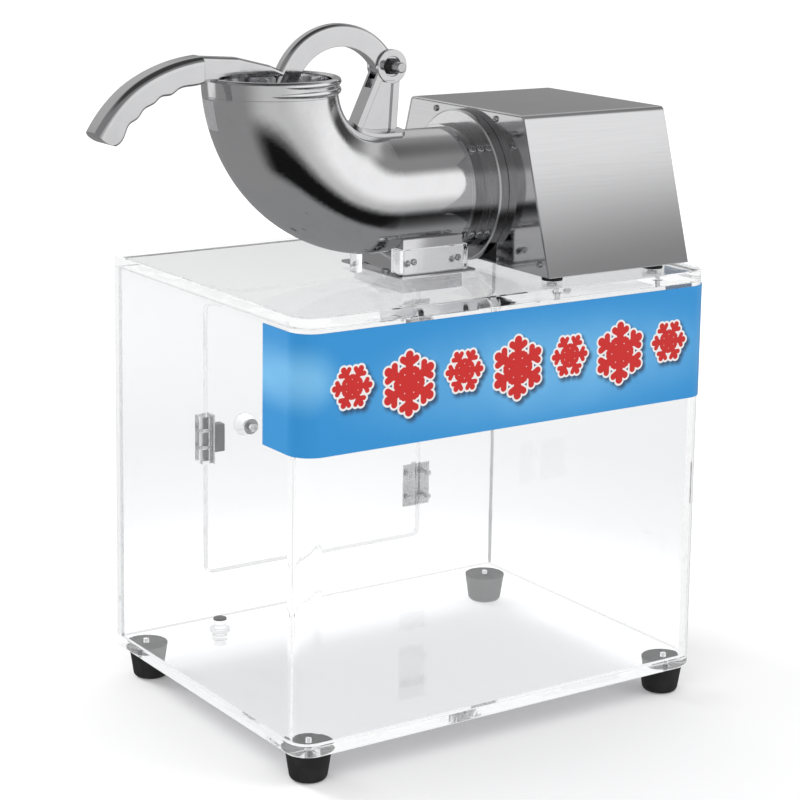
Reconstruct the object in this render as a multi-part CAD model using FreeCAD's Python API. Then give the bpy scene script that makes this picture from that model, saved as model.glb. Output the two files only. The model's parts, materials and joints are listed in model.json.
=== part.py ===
"""Electric ice crusher on a clear display case, built from separate named pieces.

Millimetres, +Z up. +X runs to the right along the sign, +Y runs to the back, where the
case's door is. Pieces are drawn from the middle of the case's footprint, and save() then
moves them so that the origin lies on the table under the middle of the whole part.
"""
import FreeCAD, Part
import math
import os

V = FreeCAD.Vector
X_AXIS, Y_AXIS, Z_AXIS = V(1, 0, 0), V(0, 1, 0), V(0, 0, 1)

# ---------------------------------------------------------------- driving sizes
# Display case
CASE_W = 420.0            # outside width, along X
CASE_D = 320.0            # outside depth, along Y
CASE_TOP = 390.0          # table to the top of the lid
FOOT_H = 26.0             # rubber foot height
BASE_T = 10.0             # base plate thickness
LID_T = 10.0              # lid plate thickness
WALL_T = 8.0              # acrylic wall thickness
BEND_R = 20.0             # outside radius of the bent front corners
EDGE_BEVEL = 0.8          # polished bevel round the acrylic plates

FOOT_TOP_R = 19.5
FOOT_BOTTOM_R = 15.5
FOOT_ROUND = 4.5          # rounded lower rim of a foot
FOOT_INSET = 22.5         # foot centre from the case's sides
FOOT_POCKET_R = 6.5       # pocket for the screw head under a foot
FOOT_POCKET_H = 9.0
FOOT_SCREW_R = 2.5
FOOT_SCREW_BITE = 7.0     # screw length inside the base plate

# Sign band round the front
SIGN_T = 1.0
SIGN_H = 100.0
SIGN_DROP = 13.0          # lid top to the sign's top edge
SIGN_WRAP = 58.0          # length of the returns on the two sides
SIGN_GAP = 0.1            # adhesive film between sign and wall

# Rear door and its opening
DOOR_W = 230.0
DOOR_H = 255.0
DOOR_Z = 82.0             # table to the door's lower edge
DOOR_GAP = 2.0            # slot between door and wall
DOOR_CORNER = 6.0
HINGE_H = 42.0            # leaf height
HINGE_LEAF_W = 15.0
HINGE_LEAF_T = 1.5
HINGE_END = 28.0          # a hinge leaf's end to the door's nearer end
KNUCKLE_R = 3.2
KNUCKLE_LIFT = 0.3        # clearance between knuckle and wall
KNUCKLE_GAP = 0.3
HINGE_PIN_R = 1.5
HINGE_SCREW_OUT = 9.5     # screw line from the pin's axis
HINGE_SCREW_Z = 12.0      # screws above and below the leaf's middle

KNOB_X = -66.0
KNOB_UP = 132.0           # door's lower edge to the knob
KNOB_R = 11.0
KNOB_BASE_R = 7.5
KNOB_NECK_R = 6.0
KNOB_NECK_H = 5.5
KNOB_FLARE_H = 6.0
KNOB_LEN = 18.0
KNOB_ROUND = 5.0
KNOB_SCREW_BITE = 7.5

CATCH_UP = 131.0          # door's lower edge to the catch's middle
CATCH_BLOCK_W = 11.5
CATCH_BLOCK_D = 14.0
CATCH_BLOCK_H = 44.0
CATCH_PLATE_T = 1.5
CATCH_PLATE_H = 46.0
CATCH_BODY_W = 11.0
CATCH_BODY_D = 11.0
CATCH_BODY_H = 26.0
CATCH_SCREW_Z = 8.0       # screws above and below the middle
STRIKE_T = 1.5
STRIKE_W = 12.0
STRIKE_H = 20.0

# Drain plug in the base
DRAIN_X = -121.0
DRAIN_Y = 119.0
DRAIN_R = 7.0
DRAIN_COLLAR_R = 9.5
DRAIN_COLLAR_T = 3.0
DRAIN_POST_R = 5.5
DRAIN_POST_H = 8.0
DRAIN_TAIL = 4.0          # plug below the base plate
DRAIN_CAP_T = 1.6

# Crusher head: feed elbow
HEAD_Y = -14.0            # the head's middle plane
HEAD_RISE = 68.0          # lid's top to the blade shaft
TUBE_R = 52.5             # outside radius of the elbow's straight run
TUBE_T = 4.0
BEND_X = -50.0            # start of the elbow's bend
BEND_RADIUS = 103.3       # centre-line radius of the bend
FLARE = 4.6               # growth of the tube's radius round the bend
FLARE_FROM = 25.0         # angle round the bend where it starts to grow
TUBE_END_X = 30.0
RIM_R = 57.8              # outside radius of the two beads round the mouth
RIM_SHIFT = 2.2           # mouth set off from the bend, towards the motor
RIM_STEP = 1.0            # mouth's wall inside the end of the bend
BEAD_DROP = 1.3           # upper bead's middle below the bend's centre
BEAD_R = 3.4
BEAD_PITCH = 7.2
RING_SKIRT = 1.0          # plain stretch of the mouth ring under its beads
COLLAR_R = 55.0
COLLAR_LEN = 10.0
SLOT_X0 = -33.0           # discharge slot in the elbow's floor
SLOT_X1 = 8.0
SLOT_HALF = 25.0

# Blade chamber cover
DRUM_R = 67.0
DRUM_X0 = 37.5
DRUM_T = 9.2
SPIGOT_GAP = 0.3
DRUM_BEVEL = 1.2
HUB_R = 20.0
HUB_LEN = 10.0
SEAL_R = 14.0
SEAL_LEN = 5.0

# Radial screws round the collar and the spigot
COLLAR_SCREW_ANGLE = 42.0
COLLAR_SCREW_R = 2.0

# Blade rotor
SHAFT_R = 8.0
RUN_FIT = 0.05            # radial running clearance
DISC_X0 = -48.0
DISC_T = 5.0
DISC_R = 47.2
BLADE_COUNT = 3
BLADE_L = 31.0
BLADE_W = 14.0
BLADE_T = 2.0
BLADE_R0 = 13.0           # inner end of a blade
BLADE_SLOT_W = 7.0
DISC_HUB_R = 14.0
DISC_HUB_LEN = 12.0
SHAFT_TIP_R = 6.0
SHAFT_NUT_T = 6.0
SHAFT_NUT_AF = 20.0

# Motor
MOTOR_L = 105.0           # barrel between the two caps
MOTOR_R = 52.0
MOTOR_WALL = 6.0
FLANGE_GAP = 0.3          # blade chamber cover to the front cap
FLANGE_T = 13.0
FLANGE_R = 48.0
REAR_CAP_T = 10.0
STATOR_R = 30.0
STATOR_END = 15.0         # space between the stator and the motor's ends
AIR_GAP = 0.5
BEARING_R = 17.0
BEARING_T = 8.0
FAN_OUT = 13.0            # barrel's end to the fan
FAN_R = 40.0
FAN_HUB_R = 11.0
FAN_T = 8.0
FAN_SHEET = 1.6
FAN_BLADES = 9
SHAFT_TAIL = 2.0          # shaft beyond the fan
CRADLE_IN = (24.0, 72.0)  # barrel's start to the left sides of the two saddles
CRADLE_W = 10.0
CRADLE_HALF = 40.0
CRADLE_PLATE_T = 3.0
CRADLE_DROP = 34.0        # saddles' top below the shaft

# Housing of bent sheet
SHEET_T = 1.5
HOUSE_L = 154.0
HOUSE_H = 134.0
HEAD_FOOT_H = 4.0         # lid's top to the housing
HOUSE_TOP_HALF = 85.0
HOUSE_BOTTOM_HALF = 126.0
HOUSE_BEND = 5.0
PANEL_GAP = 0.3
ARCH_R = 50.0
HOUSE_BASE_T = 2.0
PANEL_SCREW_Z = 7.0       # below the housing's top
PANEL_SCREW_Y = 45.0
VENT_COUNT = 6
VENT_L = 44.0
VENT_W = 5.0
VENT_PITCH = 13.0
VENT_DROP = 12.0          # slots' lower ends below the shaft

HEAD_FOOT_R = 9.0
HEAD_FOOT_IN = (13.0, 30.0)  # feet from the housing's left and right sides
HEAD_FOOT_OUT = 113.0     # feet to each side of the middle plane
MOUNT_BOLT_R = 2.5

# Switch and cord inlet on the right panel
SWITCH_Y = -64.0
SWITCH_RISE = 20.0        # switch above the shaft
SWITCH_W = 15.0
SWITCH_H = 23.0
SWITCH_LIP = 3.0
SWITCH_LIP_T = 2.5
SWITCH_DEPTH = 14.0
SWITCH_WALL = 1.4
ROCKER_TILT = 10.0
ROCKER_CLEAR = 0.5
ROCKER_PIN_R = 1.2
GLAND_Y = 52.0
GLAND_DROP = 38.0         # inlet below the shaft
GLAND_R = 9.0
GLAND_THREAD_R = 7.0
GLAND_BORE = 4.0
GLAND_NUT_T = 5.0
GLAND_OUT = 16.0
GLAND_IN = 8.0

# Ice chute and its clear guard
CHUTE_X0 = -43.0
CHUTE_X1 = 19.0
CHUTE_HALF = 38.0
CHUTE_T = 2.0
CHUTE_DROP = 12.0         # chute below the lid's underside
CHUTE_FLANGE = 9.5
CHUTE_FLANGE_T = 1.5
CHUTE_FIT = 0.5           # chute in the lid's hole
CHUTE_SCREW_Y = (-18.0, 24.0)
SEAT_GAP = 0.15           # film between the tube and what carries it
GUARD_T = 4.0
GUARD_GAP = 0.3
GUARD_RETURN = 12.0
GUARD_H = 23.0            # guard's top above the lid
GUARD_SCREW_IN = 8.0
GUARD_SCREW_UP = 12.5     # screws above the lid
POST_X = -66.0
POST_R = 5.2

# Lever and its bracket
PIVOT_OUT = 13.2          # pivot's distance from the start of the elbow's bend
PIVOT_RISE = 109.0        # pivot above the blade shaft
EAR_R = 14.5
EAR_T = 3.8
ARM_W = 12.5
BOSS_W = 9.6              # arm's thickness between the ears
BOSS_R = 13.5
EAR_SWING_GAP = 0.6       # wide part of the arm round the ears
ARM_SIDE_GAP = 0.3
PIN_R = 4.6
PIN_HEAD_R = 7.6
PIN_HEAD_T = 4.0
PIN_OUT = 14.5            # threaded end beyond the front ear
PIN_NUT_AF = 13.0
PIN_NUT_T = 4.2
EAR_RECESS_R = 8.6
EAR_RECESS_T = 1.4
LEG_W = 15.6              # depth of the leg, front to back
FORK_DROP = 18.0          # floor of the fork below the pivot
LEG_TOP_DROP = 5.0        # below the pivot, where the leg leaves the ear
LEG_TOP_BACK = 13.4       # leg's edges there, to each side of the pivot
LEG_TOP_FRONT = 8.6
LEG_FOOT_DROP = 47.0      # lower down, near the saddle
LEG_FOOT_BACK = 33.5
LEG_FOOT_FRONT = 6.0
SADDLE_T = 3.0
SADDLE_GAP = 0.05
SADDLE_HALF = 17.0
SADDLE_BACK = 40.0        # saddle's ends, to each side of the pivot
SADDLE_FRONT = 11.0
SADDLE_CORNER = 6.0
PANEL_DEPTH = 2.0         # sunk panel in each leg
PANEL_TOP_DROP = 12.0
PANEL_RIB = 6.0

ARC_BACK = 51.0           # pivot to the middle of the gooseneck's arc, along X
ARC_DROP = 26.5           # the same, downwards
ARC_OUT = 64.3
ARC_IN = 45.2
ARC_END = 63.0            # degrees from the top, towards the pivot
STEM_LEN = 20.0           # straight stretch under the arc, inside the mouth
NECK_L = 68.9             # arc's left side to the seam with the grip
NECK_H = 19.3             # neck's height at the seam
NECK_BOW = (33.9, 2.5)    # where the neck starts to taper: out from the arc, below its top
NECK_LOW = (3.9, 10.0)    # where it has almost reached the arc
NECK_JOIN = (-12.1, 17.0)
REST_GAP = 0.3            # neck above the mouth's rim when closed
ARM_ROUND = 3.8           # rounded outer edges of the bar
NECK_ROUND = 2.8          # rounded upper edges of the neck
GRIP_L = 96.4             # seam to the grip's tip, along X
GRIP_W = 25.0
# Points of the grip's two long edges: out from the seam, down from the neck's top
GRIP_CROWN = ((0.0, -0.4), (18.9, 2.4), (44.9, 10.8), (GRIP_L - 28.5, 24.0), (GRIP_L - 12.5, 39.2),
              (GRIP_L, 56.5))
GRIP_FINGERS = ((GRIP_L - 17.0, 67.5), (GRIP_L - 25.0, 58.5), (GRIP_L - 28.9, 51.0), (GRIP_L - 36.0, 46.8),
                (GRIP_L - 41.7, 40.0), (44.9, 35.2), (39.4, 30.8), (30.4, 29.6), (23.4, 25.4),
                (9.9, 23.2), (0.0, 21.2))
GRIP_END_BULGE = 2.4
GRIP_SEAM = 0.1           # hairline between neck and grip
GRIP_ROUND_TOP = 6.5
GRIP_ROUND = 2.0
GRIP_STUD_R = 4.0
GRIP_STUD_LEN = 24.0
PUSHER_ANGLE = 24.0       # closed plate below the pivot's level, degrees
PUSHER_REACH = 114.0      # pivot to the plate's middle
PUSHER_R = 43.5
PUSHER_T = 6.0
PUSHER_PAD_R = 17.0
PUSHER_PAD_T = 6.0
PUSHER_SCREW_OUT = 10.0
PUSHER_SCREW_R = 2.5

# Small fasteners
M3_R = 1.5
M4_R = 2.0
HOLE_PLAY = 0.2           # radial play of a screw in a through hole
THREAD_PLAY = 0.02        # radial play of a screw in its thread

# ---------------------------------------------------------------- derived places
FLOOR_Z = FOOT_H + BASE_T
LID_UNDER = CASE_TOP - LID_T
HALF_W = CASE_W / 2
HALF_D = CASE_D / 2
REAR_IN = HALF_D - WALL_T             # inner face of the rear wall
DOOR_HALF = DOOR_W / 2
OPEN_HALF = DOOR_HALF + DOOR_GAP
HINGE_X = DOOR_HALF + DOOR_GAP / 2
HINGE_Y = HALF_D + KNUCKLE_R + KNUCKLE_LIFT
HINGE_ZS = (DOOR_Z + HINGE_H / 2 + HINGE_END, DOOR_Z + DOOR_H - HINGE_H / 2 - HINGE_END)
KNOB_Z = DOOR_Z + KNOB_UP
CATCH_Z = DOOR_Z + CATCH_UP
SHAFT_Z = CASE_TOP + HEAD_RISE
DRUM_X1 = DRUM_X0 + DRUM_T
FLANGE_X0 = DRUM_X1 + FLANGE_GAP
MOTOR_X0 = FLANGE_X0 + FLANGE_T
MOTOR_X1 = MOTOR_X0 + MOTOR_L
FAN_X0 = MOTOR_X1 + FAN_OUT
SHAFT_END_X = FAN_X0 + FAN_T + SHAFT_TAIL
CRADLE_X = [MOTOR_X0 + x for x in CRADLE_IN]
CRADLE_TOP = SHAFT_Z - CRADLE_DROP
HOUSE_X0 = FLANGE_X0
HOUSE_X1 = HOUSE_X0 + HOUSE_L
HOUSE_Z0 = CASE_TOP + HEAD_FOOT_H
HOUSE_Z1 = HOUSE_Z0 + HOUSE_H
HEAD_FOOT_X = (HOUSE_X0 + HEAD_FOOT_IN[0], HOUSE_X1 - HEAD_FOOT_IN[1])
VENT_Z = SHAFT_Z - VENT_DROP
SWITCH_Z = SHAFT_Z + SWITCH_RISE
GLAND_Z = SHAFT_Z - GLAND_DROP
GUARD_TOP = CASE_TOP + GUARD_H
GUARD_SCREW_Z = CASE_TOP + GUARD_SCREW_UP
TUBE_IN = TUBE_R - TUBE_T
BEND_C = V(BEND_X, HEAD_Y, SHAFT_Z + BEND_RADIUS)
MOUTH_X = BEND_X - BEND_RADIUS + RIM_SHIFT
MOUTH_R = TUBE_R + FLARE
BEAD_TOP_Z = BEND_C.z - BEAD_DROP
RIM_TOP = BEAD_TOP_Z + BEAD_R
SHAFT_AXIS = V(0, HEAD_Y, SHAFT_Z)
PIVOT_X = BEND_X + PIVOT_OUT
PIVOT_Z = SHAFT_Z + PIVOT_RISE
PIVOT = V(PIVOT_X, HEAD_Y, PIVOT_Z)
ARC_X = PIVOT_X - ARC_BACK
ARC_Z = PIVOT_Z - ARC_DROP
ARC_LEFT = ARC_X - ARC_OUT
NECK_BOTTOM = RIM_TOP + REST_GAP
NECK_TOP = NECK_BOTTOM + NECK_H
NECK_SEAM_X = ARC_LEFT - NECK_L
GRIP_TIP_X = NECK_SEAM_X - GRIP_SEAM - GRIP_L     # the part's left end
EAR_IN = BOSS_W / 2 + ARM_SIDE_GAP    # inner face of an ear from the middle plane
EAR_OUT = EAR_IN + EAR_T


# ---------------------------------------------------------------- basic shapes
def box(x0, x1, y0, y1, z0, z1):
    """Block between two corners."""
    return Part.makeBox(x1 - x0, y1 - y0, z1 - z0, V(x0, y0, z0))


def rod(start, axis, radius, length):
    """Round bar from a point along an axis."""
    return Part.makeCylinder(radius, length, start, axis)


def shaft_rod(x0, x1, radius):
    """Round bar on the blade shaft's axis."""
    return rod(V(x0, HEAD_Y, SHAFT_Z), X_AXIS, radius, x1 - x0)


def ring_on_shaft(x0, x1, r_in, r_out):
    """Ring on the blade shaft's axis."""
    return shaft_rod(x0, x1, r_out).cut(shaft_rod(x0 - 1, x1 + 1, r_in))


def prism(points, direction):
    """Straight-sided body from an outline and the vector that it is drawn along."""
    loop = Part.makePolygon(points + [points[0]])
    return Part.Face(loop).extrude(direction)


def fuse(shapes):
    """One solid from overlapping or touching shapes."""
    first = shapes[0]
    return first.multiFuse(shapes[1:]).removeSplitter()


def cut(body, tools):
    """Body with a list of shapes taken away."""
    for tool in tools:
        body = body.cut(tool)
    return body


def aim(shape, start, axis):
    """Move a shape made at the origin along +Z to a start point and an axis."""
    turn = FreeCAD.Rotation(Z_AXIS, axis)
    moved = shape.copy()
    moved.Placement = FreeCAD.Placement(start, turn).multiply(shape.Placement)
    return moved


def edges_where(shape, test):
    """Edges whose middle point and direction pass a test."""
    found = []
    for edge in shape.Edges:
        middle = edge.valueAt((edge.FirstParameter + edge.LastParameter) / 2)
        if test(middle, edge):
            found.append(edge)
    return found


def is_along(edge, axis):
    """True for a straight edge parallel to an axis."""
    if edge.Curve.TypeId != "Part::GeomLine":
        return False
    return abs(abs(edge.tangentAt(edge.FirstParameter).dot(axis)) - 1) < 1e-6


def front_round_block(half_w, y0, y1, z0, z1, radius):
    """Plate whose two front corners are rounded, seen from above."""
    body = box(-half_w, half_w, y0, y1, z0, z1)
    corners = edges_where(body, lambda m, e: is_along(e, Z_AXIS) and m.y < (y0 + y1) / 2)
    return body.makeFillet(radius, corners)


def pan_screw(start, axis, shank_r, length):
    """Pan-head screw: the head's seat is at start and the shank runs along axis."""
    head_r = shank_r * 1.9
    head_h = shank_r * 1.25
    head = Part.makeCylinder(head_r, head_h, V(0, 0, -head_h))
    rim = edges_where(head, lambda m, e: m.z < -head_h / 2 and e.Curve.TypeId == "Part::GeomCircle")
    head = head.makeFillet(head_h * 0.55, rim)
    slot_w, slot_d = shank_r * 0.4, head_h * 0.5
    for turn in (0, 90):
        slot = Part.makeBox(2.2 * shank_r, slot_w, slot_d, V(-1.1 * shank_r, -slot_w / 2, -head_h))
        slot.rotate(V(0, 0, 0), Z_AXIS, turn)
        head = head.cut(slot)
    shank = Part.makeCylinder(shank_r, length, V(0, 0, 0))
    return aim(head.fuse(shank).removeSplitter(), start, axis)


def hex_nut(start, axis, across, thickness, bore):
    """Hexagon nut whose seat is at start and whose body runs along axis."""
    corner = across / math.sqrt(3)
    points = [V(corner * math.cos(math.radians(60 * i)), corner * math.sin(math.radians(60 * i)), 0)
              for i in range(6)]
    body = prism(points, V(0, 0, thickness))
    body = body.cut(Part.makeCylinder(bore, thickness + 2, V(0, 0, -1)))
    return aim(body, start, axis)


def holes(starts, axis, radius, length):
    """Round cutters for a group of parallel screws."""
    return [rod(p - axis, axis, radius, length + 1) for p in starts]


ORIGIN_X = (GRIP_TIP_X + HOUSE_X1 + GLAND_OUT) / 2           # grip's tip to cord gland
ORIGIN_Y = (KNOB_LEN - SIGN_GAP - SIGN_T) / 2                # sign's face to door knob


def save(name, shapes):
    """Write one node, moved to the part's origin; a list is kept as separate solids."""
    solids = [s for shape in shapes for s in shape.Solids]
    node = solids[0] if len(solids) == 1 else Part.makeCompound(solids)
    if not node.isValid():
        raise ValueError(name + " is not valid")
    node.translate(V(-ORIGIN_X, -ORIGIN_Y, 0))
    node.exportStep("parts/" + name + ".step")
    print(name, len(solids), "solids", round(node.Volume))


# ---------------------------------------------------------------- display case
FOOT_SPOTS = [V(sx * (HALF_W - FOOT_INSET), sy * (HALF_D - FOOT_INSET), 0)
              for sx in (-1, 1) for sy in (-1, 1)]
MOUNT_SPOTS = [V(x, HEAD_Y + sy * HEAD_FOOT_OUT, 0) for x in HEAD_FOOT_X for sy in (-1, 1)]
CHUTE_SCREW_SPOTS = [V(x, HEAD_Y + y, 0)
                     for x in (CHUTE_X0 - CHUTE_FLANGE / 2, CHUTE_X1 + CHUTE_FLANGE / 2)
                     for y in CHUTE_SCREW_Y]


def at_z(point, z):
    """The same plan position at another height."""
    return V(point.x, point.y, z)


def bevel_plate(plate):
    """Polished bevel round the straight edges of an acrylic plate."""
    rims = edges_where(plate, lambda m, e: is_along(e, X_AXIS) or is_along(e, Y_AXIS))
    return plate.makeChamfer(EDGE_BEVEL, rims)


def base_plate():
    plate = front_round_block(HALF_W, -HALF_D, HALF_D, FOOT_H, FLOOR_Z, BEND_R)
    plate = bevel_plate(plate)
    screw_holes = holes([at_z(p, FOOT_H) for p in FOOT_SPOTS], Z_AXIS,
                        FOOT_SCREW_R + THREAD_PLAY, FOOT_SCREW_BITE + 1)
    drain = rod(V(DRAIN_X, DRAIN_Y, FOOT_H - 1), Z_AXIS, DRAIN_R, BASE_T + 2)
    return cut(plate, screw_holes + [drain])


def case_walls():
    outer = front_round_block(HALF_W, -HALF_D, REAR_IN, FLOOR_Z, LID_UNDER, BEND_R)
    inner = front_round_block(HALF_W - WALL_T, -HALF_D + WALL_T, REAR_IN + BEND_R,
                              FLOOR_Z - 1, LID_UNDER + 1, BEND_R - WALL_T)
    return outer.cut(inner)


def upright_round(body, radius):
    """Round the four Y-running corners of a door-shaped block."""
    return body.makeFillet(radius, edges_where(body, lambda m, e: is_along(e, Y_AXIS)))


def hinge_screw_spots(side):
    """Screw places on one side of both hinges: +1 is the wall, -1 is the door."""
    return [V(HINGE_X + side * HINGE_SCREW_OUT, HALF_D + HINGE_LEAF_T, z + dz)
            for z in HINGE_ZS for dz in (-HINGE_SCREW_Z, HINGE_SCREW_Z)]


def rear_wall():
    wall = box(-HALF_W, HALF_W, REAR_IN, HALF_D, FLOOR_Z, LID_UNDER)
    opening = box(-OPEN_HALF, OPEN_HALF, REAR_IN - 1, HALF_D + 1,
                  DOOR_Z - DOOR_GAP, DOOR_Z + DOOR_H + DOOR_GAP)
    opening = upright_round(opening, DOOR_CORNER + DOOR_GAP)
    drills = holes(hinge_screw_spots(1), -Y_AXIS, M3_R + HOLE_PLAY, WALL_T + 5)
    return cut(wall, [opening] + drills)


def rear_door():
    door = box(-DOOR_HALF, DOOR_HALF, REAR_IN, HALF_D, DOOR_Z, DOOR_Z + DOOR_H)
    door = upright_round(door, DOOR_CORNER)
    drills = holes(hinge_screw_spots(-1), -Y_AXIS, M3_R + HOLE_PLAY, WALL_T + 5)
    knob_hole = rod(V(KNOB_X, REAR_IN - 1, KNOB_Z), Y_AXIS, M4_R + HOLE_PLAY, WALL_T + 2)
    return cut(door, drills + [knob_hole])


def lid_plate():
    plate = front_round_block(HALF_W, -HALF_D, HALF_D, LID_UNDER, CASE_TOP, BEND_R)
    plate = bevel_plate(plate)
    chute_hole = box(CHUTE_X0 - CHUTE_FIT, CHUTE_X1 + CHUTE_FIT,
                     HEAD_Y - CHUTE_HALF - CHUTE_FIT, HEAD_Y + CHUTE_HALF + CHUTE_FIT,
                     LID_UNDER - 1, CASE_TOP + 1)
    bolts = holes([at_z(p, LID_UNDER) for p in MOUNT_SPOTS], Z_AXIS, MOUNT_BOLT_R + HOLE_PLAY, LID_T + 2)
    screws = holes([at_z(p, LID_UNDER) for p in CHUTE_SCREW_SPOTS], Z_AXIS, M4_R + THREAD_PLAY, LID_T + 2)
    return cut(plate, [chute_hole] + bolts + screws)


def foot_shape():
    """Tapered rubber foot with a rounded lower rim and a pocket for its screw."""
    cone = Part.makeCone(FOOT_BOTTOM_R, FOOT_TOP_R, FOOT_H)
    rim = edges_where(cone, lambda m, e: m.z < 1 and e.Curve.TypeId == "Part::GeomCircle")
    cone = cone.makeFillet(FOOT_ROUND, rim)
    pocket = Part.makeCylinder(FOOT_POCKET_R, FOOT_POCKET_H)
    bore = Part.makeCylinder(FOOT_SCREW_R + THREAD_PLAY, FOOT_H)
    return cut(cone, [pocket, bore])


def case_feet():
    feet = []
    for spot in FOOT_SPOTS:
        foot = foot_shape()
        foot.translate(spot)
        feet.append(foot)
    return feet


def foot_screws():
    reach = FOOT_H - FOOT_POCKET_H + FOOT_SCREW_BITE
    return [pan_screw(at_z(p, FOOT_POCKET_H), Z_AXIS, FOOT_SCREW_R, reach) for p in FOOT_SPOTS]


def sign_panel():
    top = CASE_TOP - SIGN_DROP
    inner_off = SIGN_GAP
    outer_off = SIGN_GAP + SIGN_T
    back = -HALF_D + SIGN_WRAP
    outer = front_round_block(HALF_W + outer_off, -HALF_D - outer_off, back, top - SIGN_H, top,
                              BEND_R + outer_off)
    inner = front_round_block(HALF_W + inner_off, -HALF_D - inner_off, back + BEND_R * 3,
                              top - SIGN_H - 1, top + 1, BEND_R + inner_off)
    return outer.cut(inner)


# ---------------------------------------------------------------- door furniture
def knuckle(z0, z1):
    return rod(V(HINGE_X, HINGE_Y, z0), Z_AXIS, KNUCKLE_R, z1 - z0)


def hinge_leaf(z_mid, side):
    """Leaf of a butt hinge: +1 carries the two end knuckles, -1 the middle one."""
    low, high = z_mid - HINGE_H / 2, z_mid + HINGE_H / 2
    third = HINGE_H / 6
    ends = [(low, z_mid - third), (z_mid + third, high)]
    middle = [(z_mid - third + KNUCKLE_GAP, z_mid + third - KNUCKLE_GAP)]
    own, other = (ends, middle) if side > 0 else (middle, ends)
    x_far = HINGE_X + side * HINGE_LEAF_W
    leaf = box(min(HINGE_X, x_far), max(HINGE_X, x_far), HALF_D, HALF_D + HINGE_LEAF_T, low, high)
    room = [rod(V(HINGE_X, HINGE_Y, z0 - KNUCKLE_GAP), Z_AXIS, KNUCKLE_R + 2 * KNUCKLE_GAP,
                z1 - z0 + 2 * KNUCKLE_GAP) for z0, z1 in other]
    body = fuse([cut(leaf, room)] + [knuckle(z0, z1) for z0, z1 in own])
    bore = rod(V(HINGE_X, HINGE_Y, low - 1), Z_AXIS, HINGE_PIN_R + RUN_FIT, HINGE_H + 2)
    spots = [p for p in hinge_screw_spots(side) if abs(p.z - z_mid) < HINGE_H / 2]
    return cut(body, [bore] + holes(spots, -Y_AXIS, M3_R + HOLE_PLAY, HINGE_LEAF_T + 2))


def hinge_pins():
    return [rod(V(HINGE_X, HINGE_Y, z - HINGE_H / 2), Z_AXIS, HINGE_PIN_R, HINGE_H) for z in HINGE_ZS]


def hinge_fasteners(side):
    """Screws from outside with nuts on the inner face."""
    nut_t = M3_R * 1.6
    made = []
    for spot in hinge_screw_spots(side):
        made.append(pan_screw(spot, -Y_AXIS, M3_R, HINGE_LEAF_T + WALL_T + nut_t + 1))
        made.append(hex_nut(V(spot.x, REAR_IN, spot.z), -Y_AXIS, 5.5, nut_t, M3_R + THREAD_PLAY))
    return made


def door_knob():
    """Clear turned knob: a waisted neck under a rounded head."""
    neck = Part.makeCone(KNOB_BASE_R, KNOB_NECK_R, KNOB_NECK_H)
    flare = Part.makeCone(KNOB_NECK_R, KNOB_R, KNOB_FLARE_H, V(0, 0, KNOB_NECK_H))
    head_z = KNOB_NECK_H + KNOB_FLARE_H
    head = Part.makeCylinder(KNOB_R, KNOB_LEN - head_z, V(0, 0, head_z))
    rim = edges_where(head, lambda m, e: m.z > KNOB_LEN - 0.1 and e.Curve.TypeId == "Part::GeomCircle")
    head = head.makeFillet(KNOB_ROUND, rim)
    bore = Part.makeCylinder(M4_R + THREAD_PLAY, KNOB_SCREW_BITE + 2, V(0, 0, -1))
    return aim(fuse([neck, flare, head]).cut(bore), V(KNOB_X, HALF_D, KNOB_Z), Y_AXIS)


def knob_screw():
    return pan_screw(V(KNOB_X, REAR_IN, KNOB_Z), Y_AXIS, M4_R, WALL_T + KNOB_SCREW_BITE)


CATCH_X0 = -OPEN_HALF - CATCH_BLOCK_W                 # left side of the clear block
CATCH_X1 = CATCH_X0 + CATCH_BLOCK_W                   # its right side, at the opening's edge
CATCH_X2 = CATCH_X1 + CATCH_PLATE_T
CATCH_X3 = CATCH_X2 + CATCH_BODY_W
STRIKE_GAP = 0.3
CATCH_BODY_Y = REAR_IN - STRIKE_T - STRIKE_GAP        # magnet's face towards the door


def catch_screw_spots():
    return [V(CATCH_X3, CATCH_BODY_Y - CATCH_BODY_D / 2, CATCH_Z + dz)
            for dz in (-CATCH_SCREW_Z, CATCH_SCREW_Z)]


def catch_block():
    block = box(CATCH_X0, CATCH_X1, REAR_IN - CATCH_BLOCK_D, REAR_IN,
                CATCH_Z - CATCH_BLOCK_H / 2, CATCH_Z + CATCH_BLOCK_H / 2)
    return cut(block, holes(catch_screw_spots(), -X_AXIS, M3_R + THREAD_PLAY, CATCH_X3 - CATCH_X0 - 2))


def catch_plate():
    plate = box(CATCH_X1, CATCH_X2, REAR_IN - CATCH_BLOCK_D, CATCH_BODY_Y,
                CATCH_Z - CATCH_PLATE_H / 2, CATCH_Z + CATCH_PLATE_H / 2)
    return cut(plate, holes(catch_screw_spots(), -X_AXIS, M3_R + HOLE_PLAY, CATCH_X3 - CATCH_X0 - 2))


def catch_magnet():
    body = box(CATCH_X2, CATCH_X3, CATCH_BODY_Y - CATCH_BODY_D, CATCH_BODY_Y,
               CATCH_Z - CATCH_BODY_H / 2, CATCH_Z + CATCH_BODY_H / 2)
    rims = edges_where(body, lambda m, e: is_along(e, X_AXIS))
    body = body.makeFillet(1.2, rims)
    return cut(body, holes(catch_screw_spots(), -X_AXIS, M3_R + HOLE_PLAY, CATCH_X3 - CATCH_X0 - 2))


def catch_screws():
    return [pan_screw(p, -X_AXIS, M3_R, CATCH_X3 - CATCH_X0 - 4) for p in catch_screw_spots()]


def strike_plate():
    x0 = -DOOR_HALF + STRIKE_GAP
    return box(x0, x0 + STRIKE_W, REAR_IN - STRIKE_T, REAR_IN,
               CATCH_Z - STRIKE_H / 2, CATCH_Z + STRIKE_H / 2)


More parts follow.
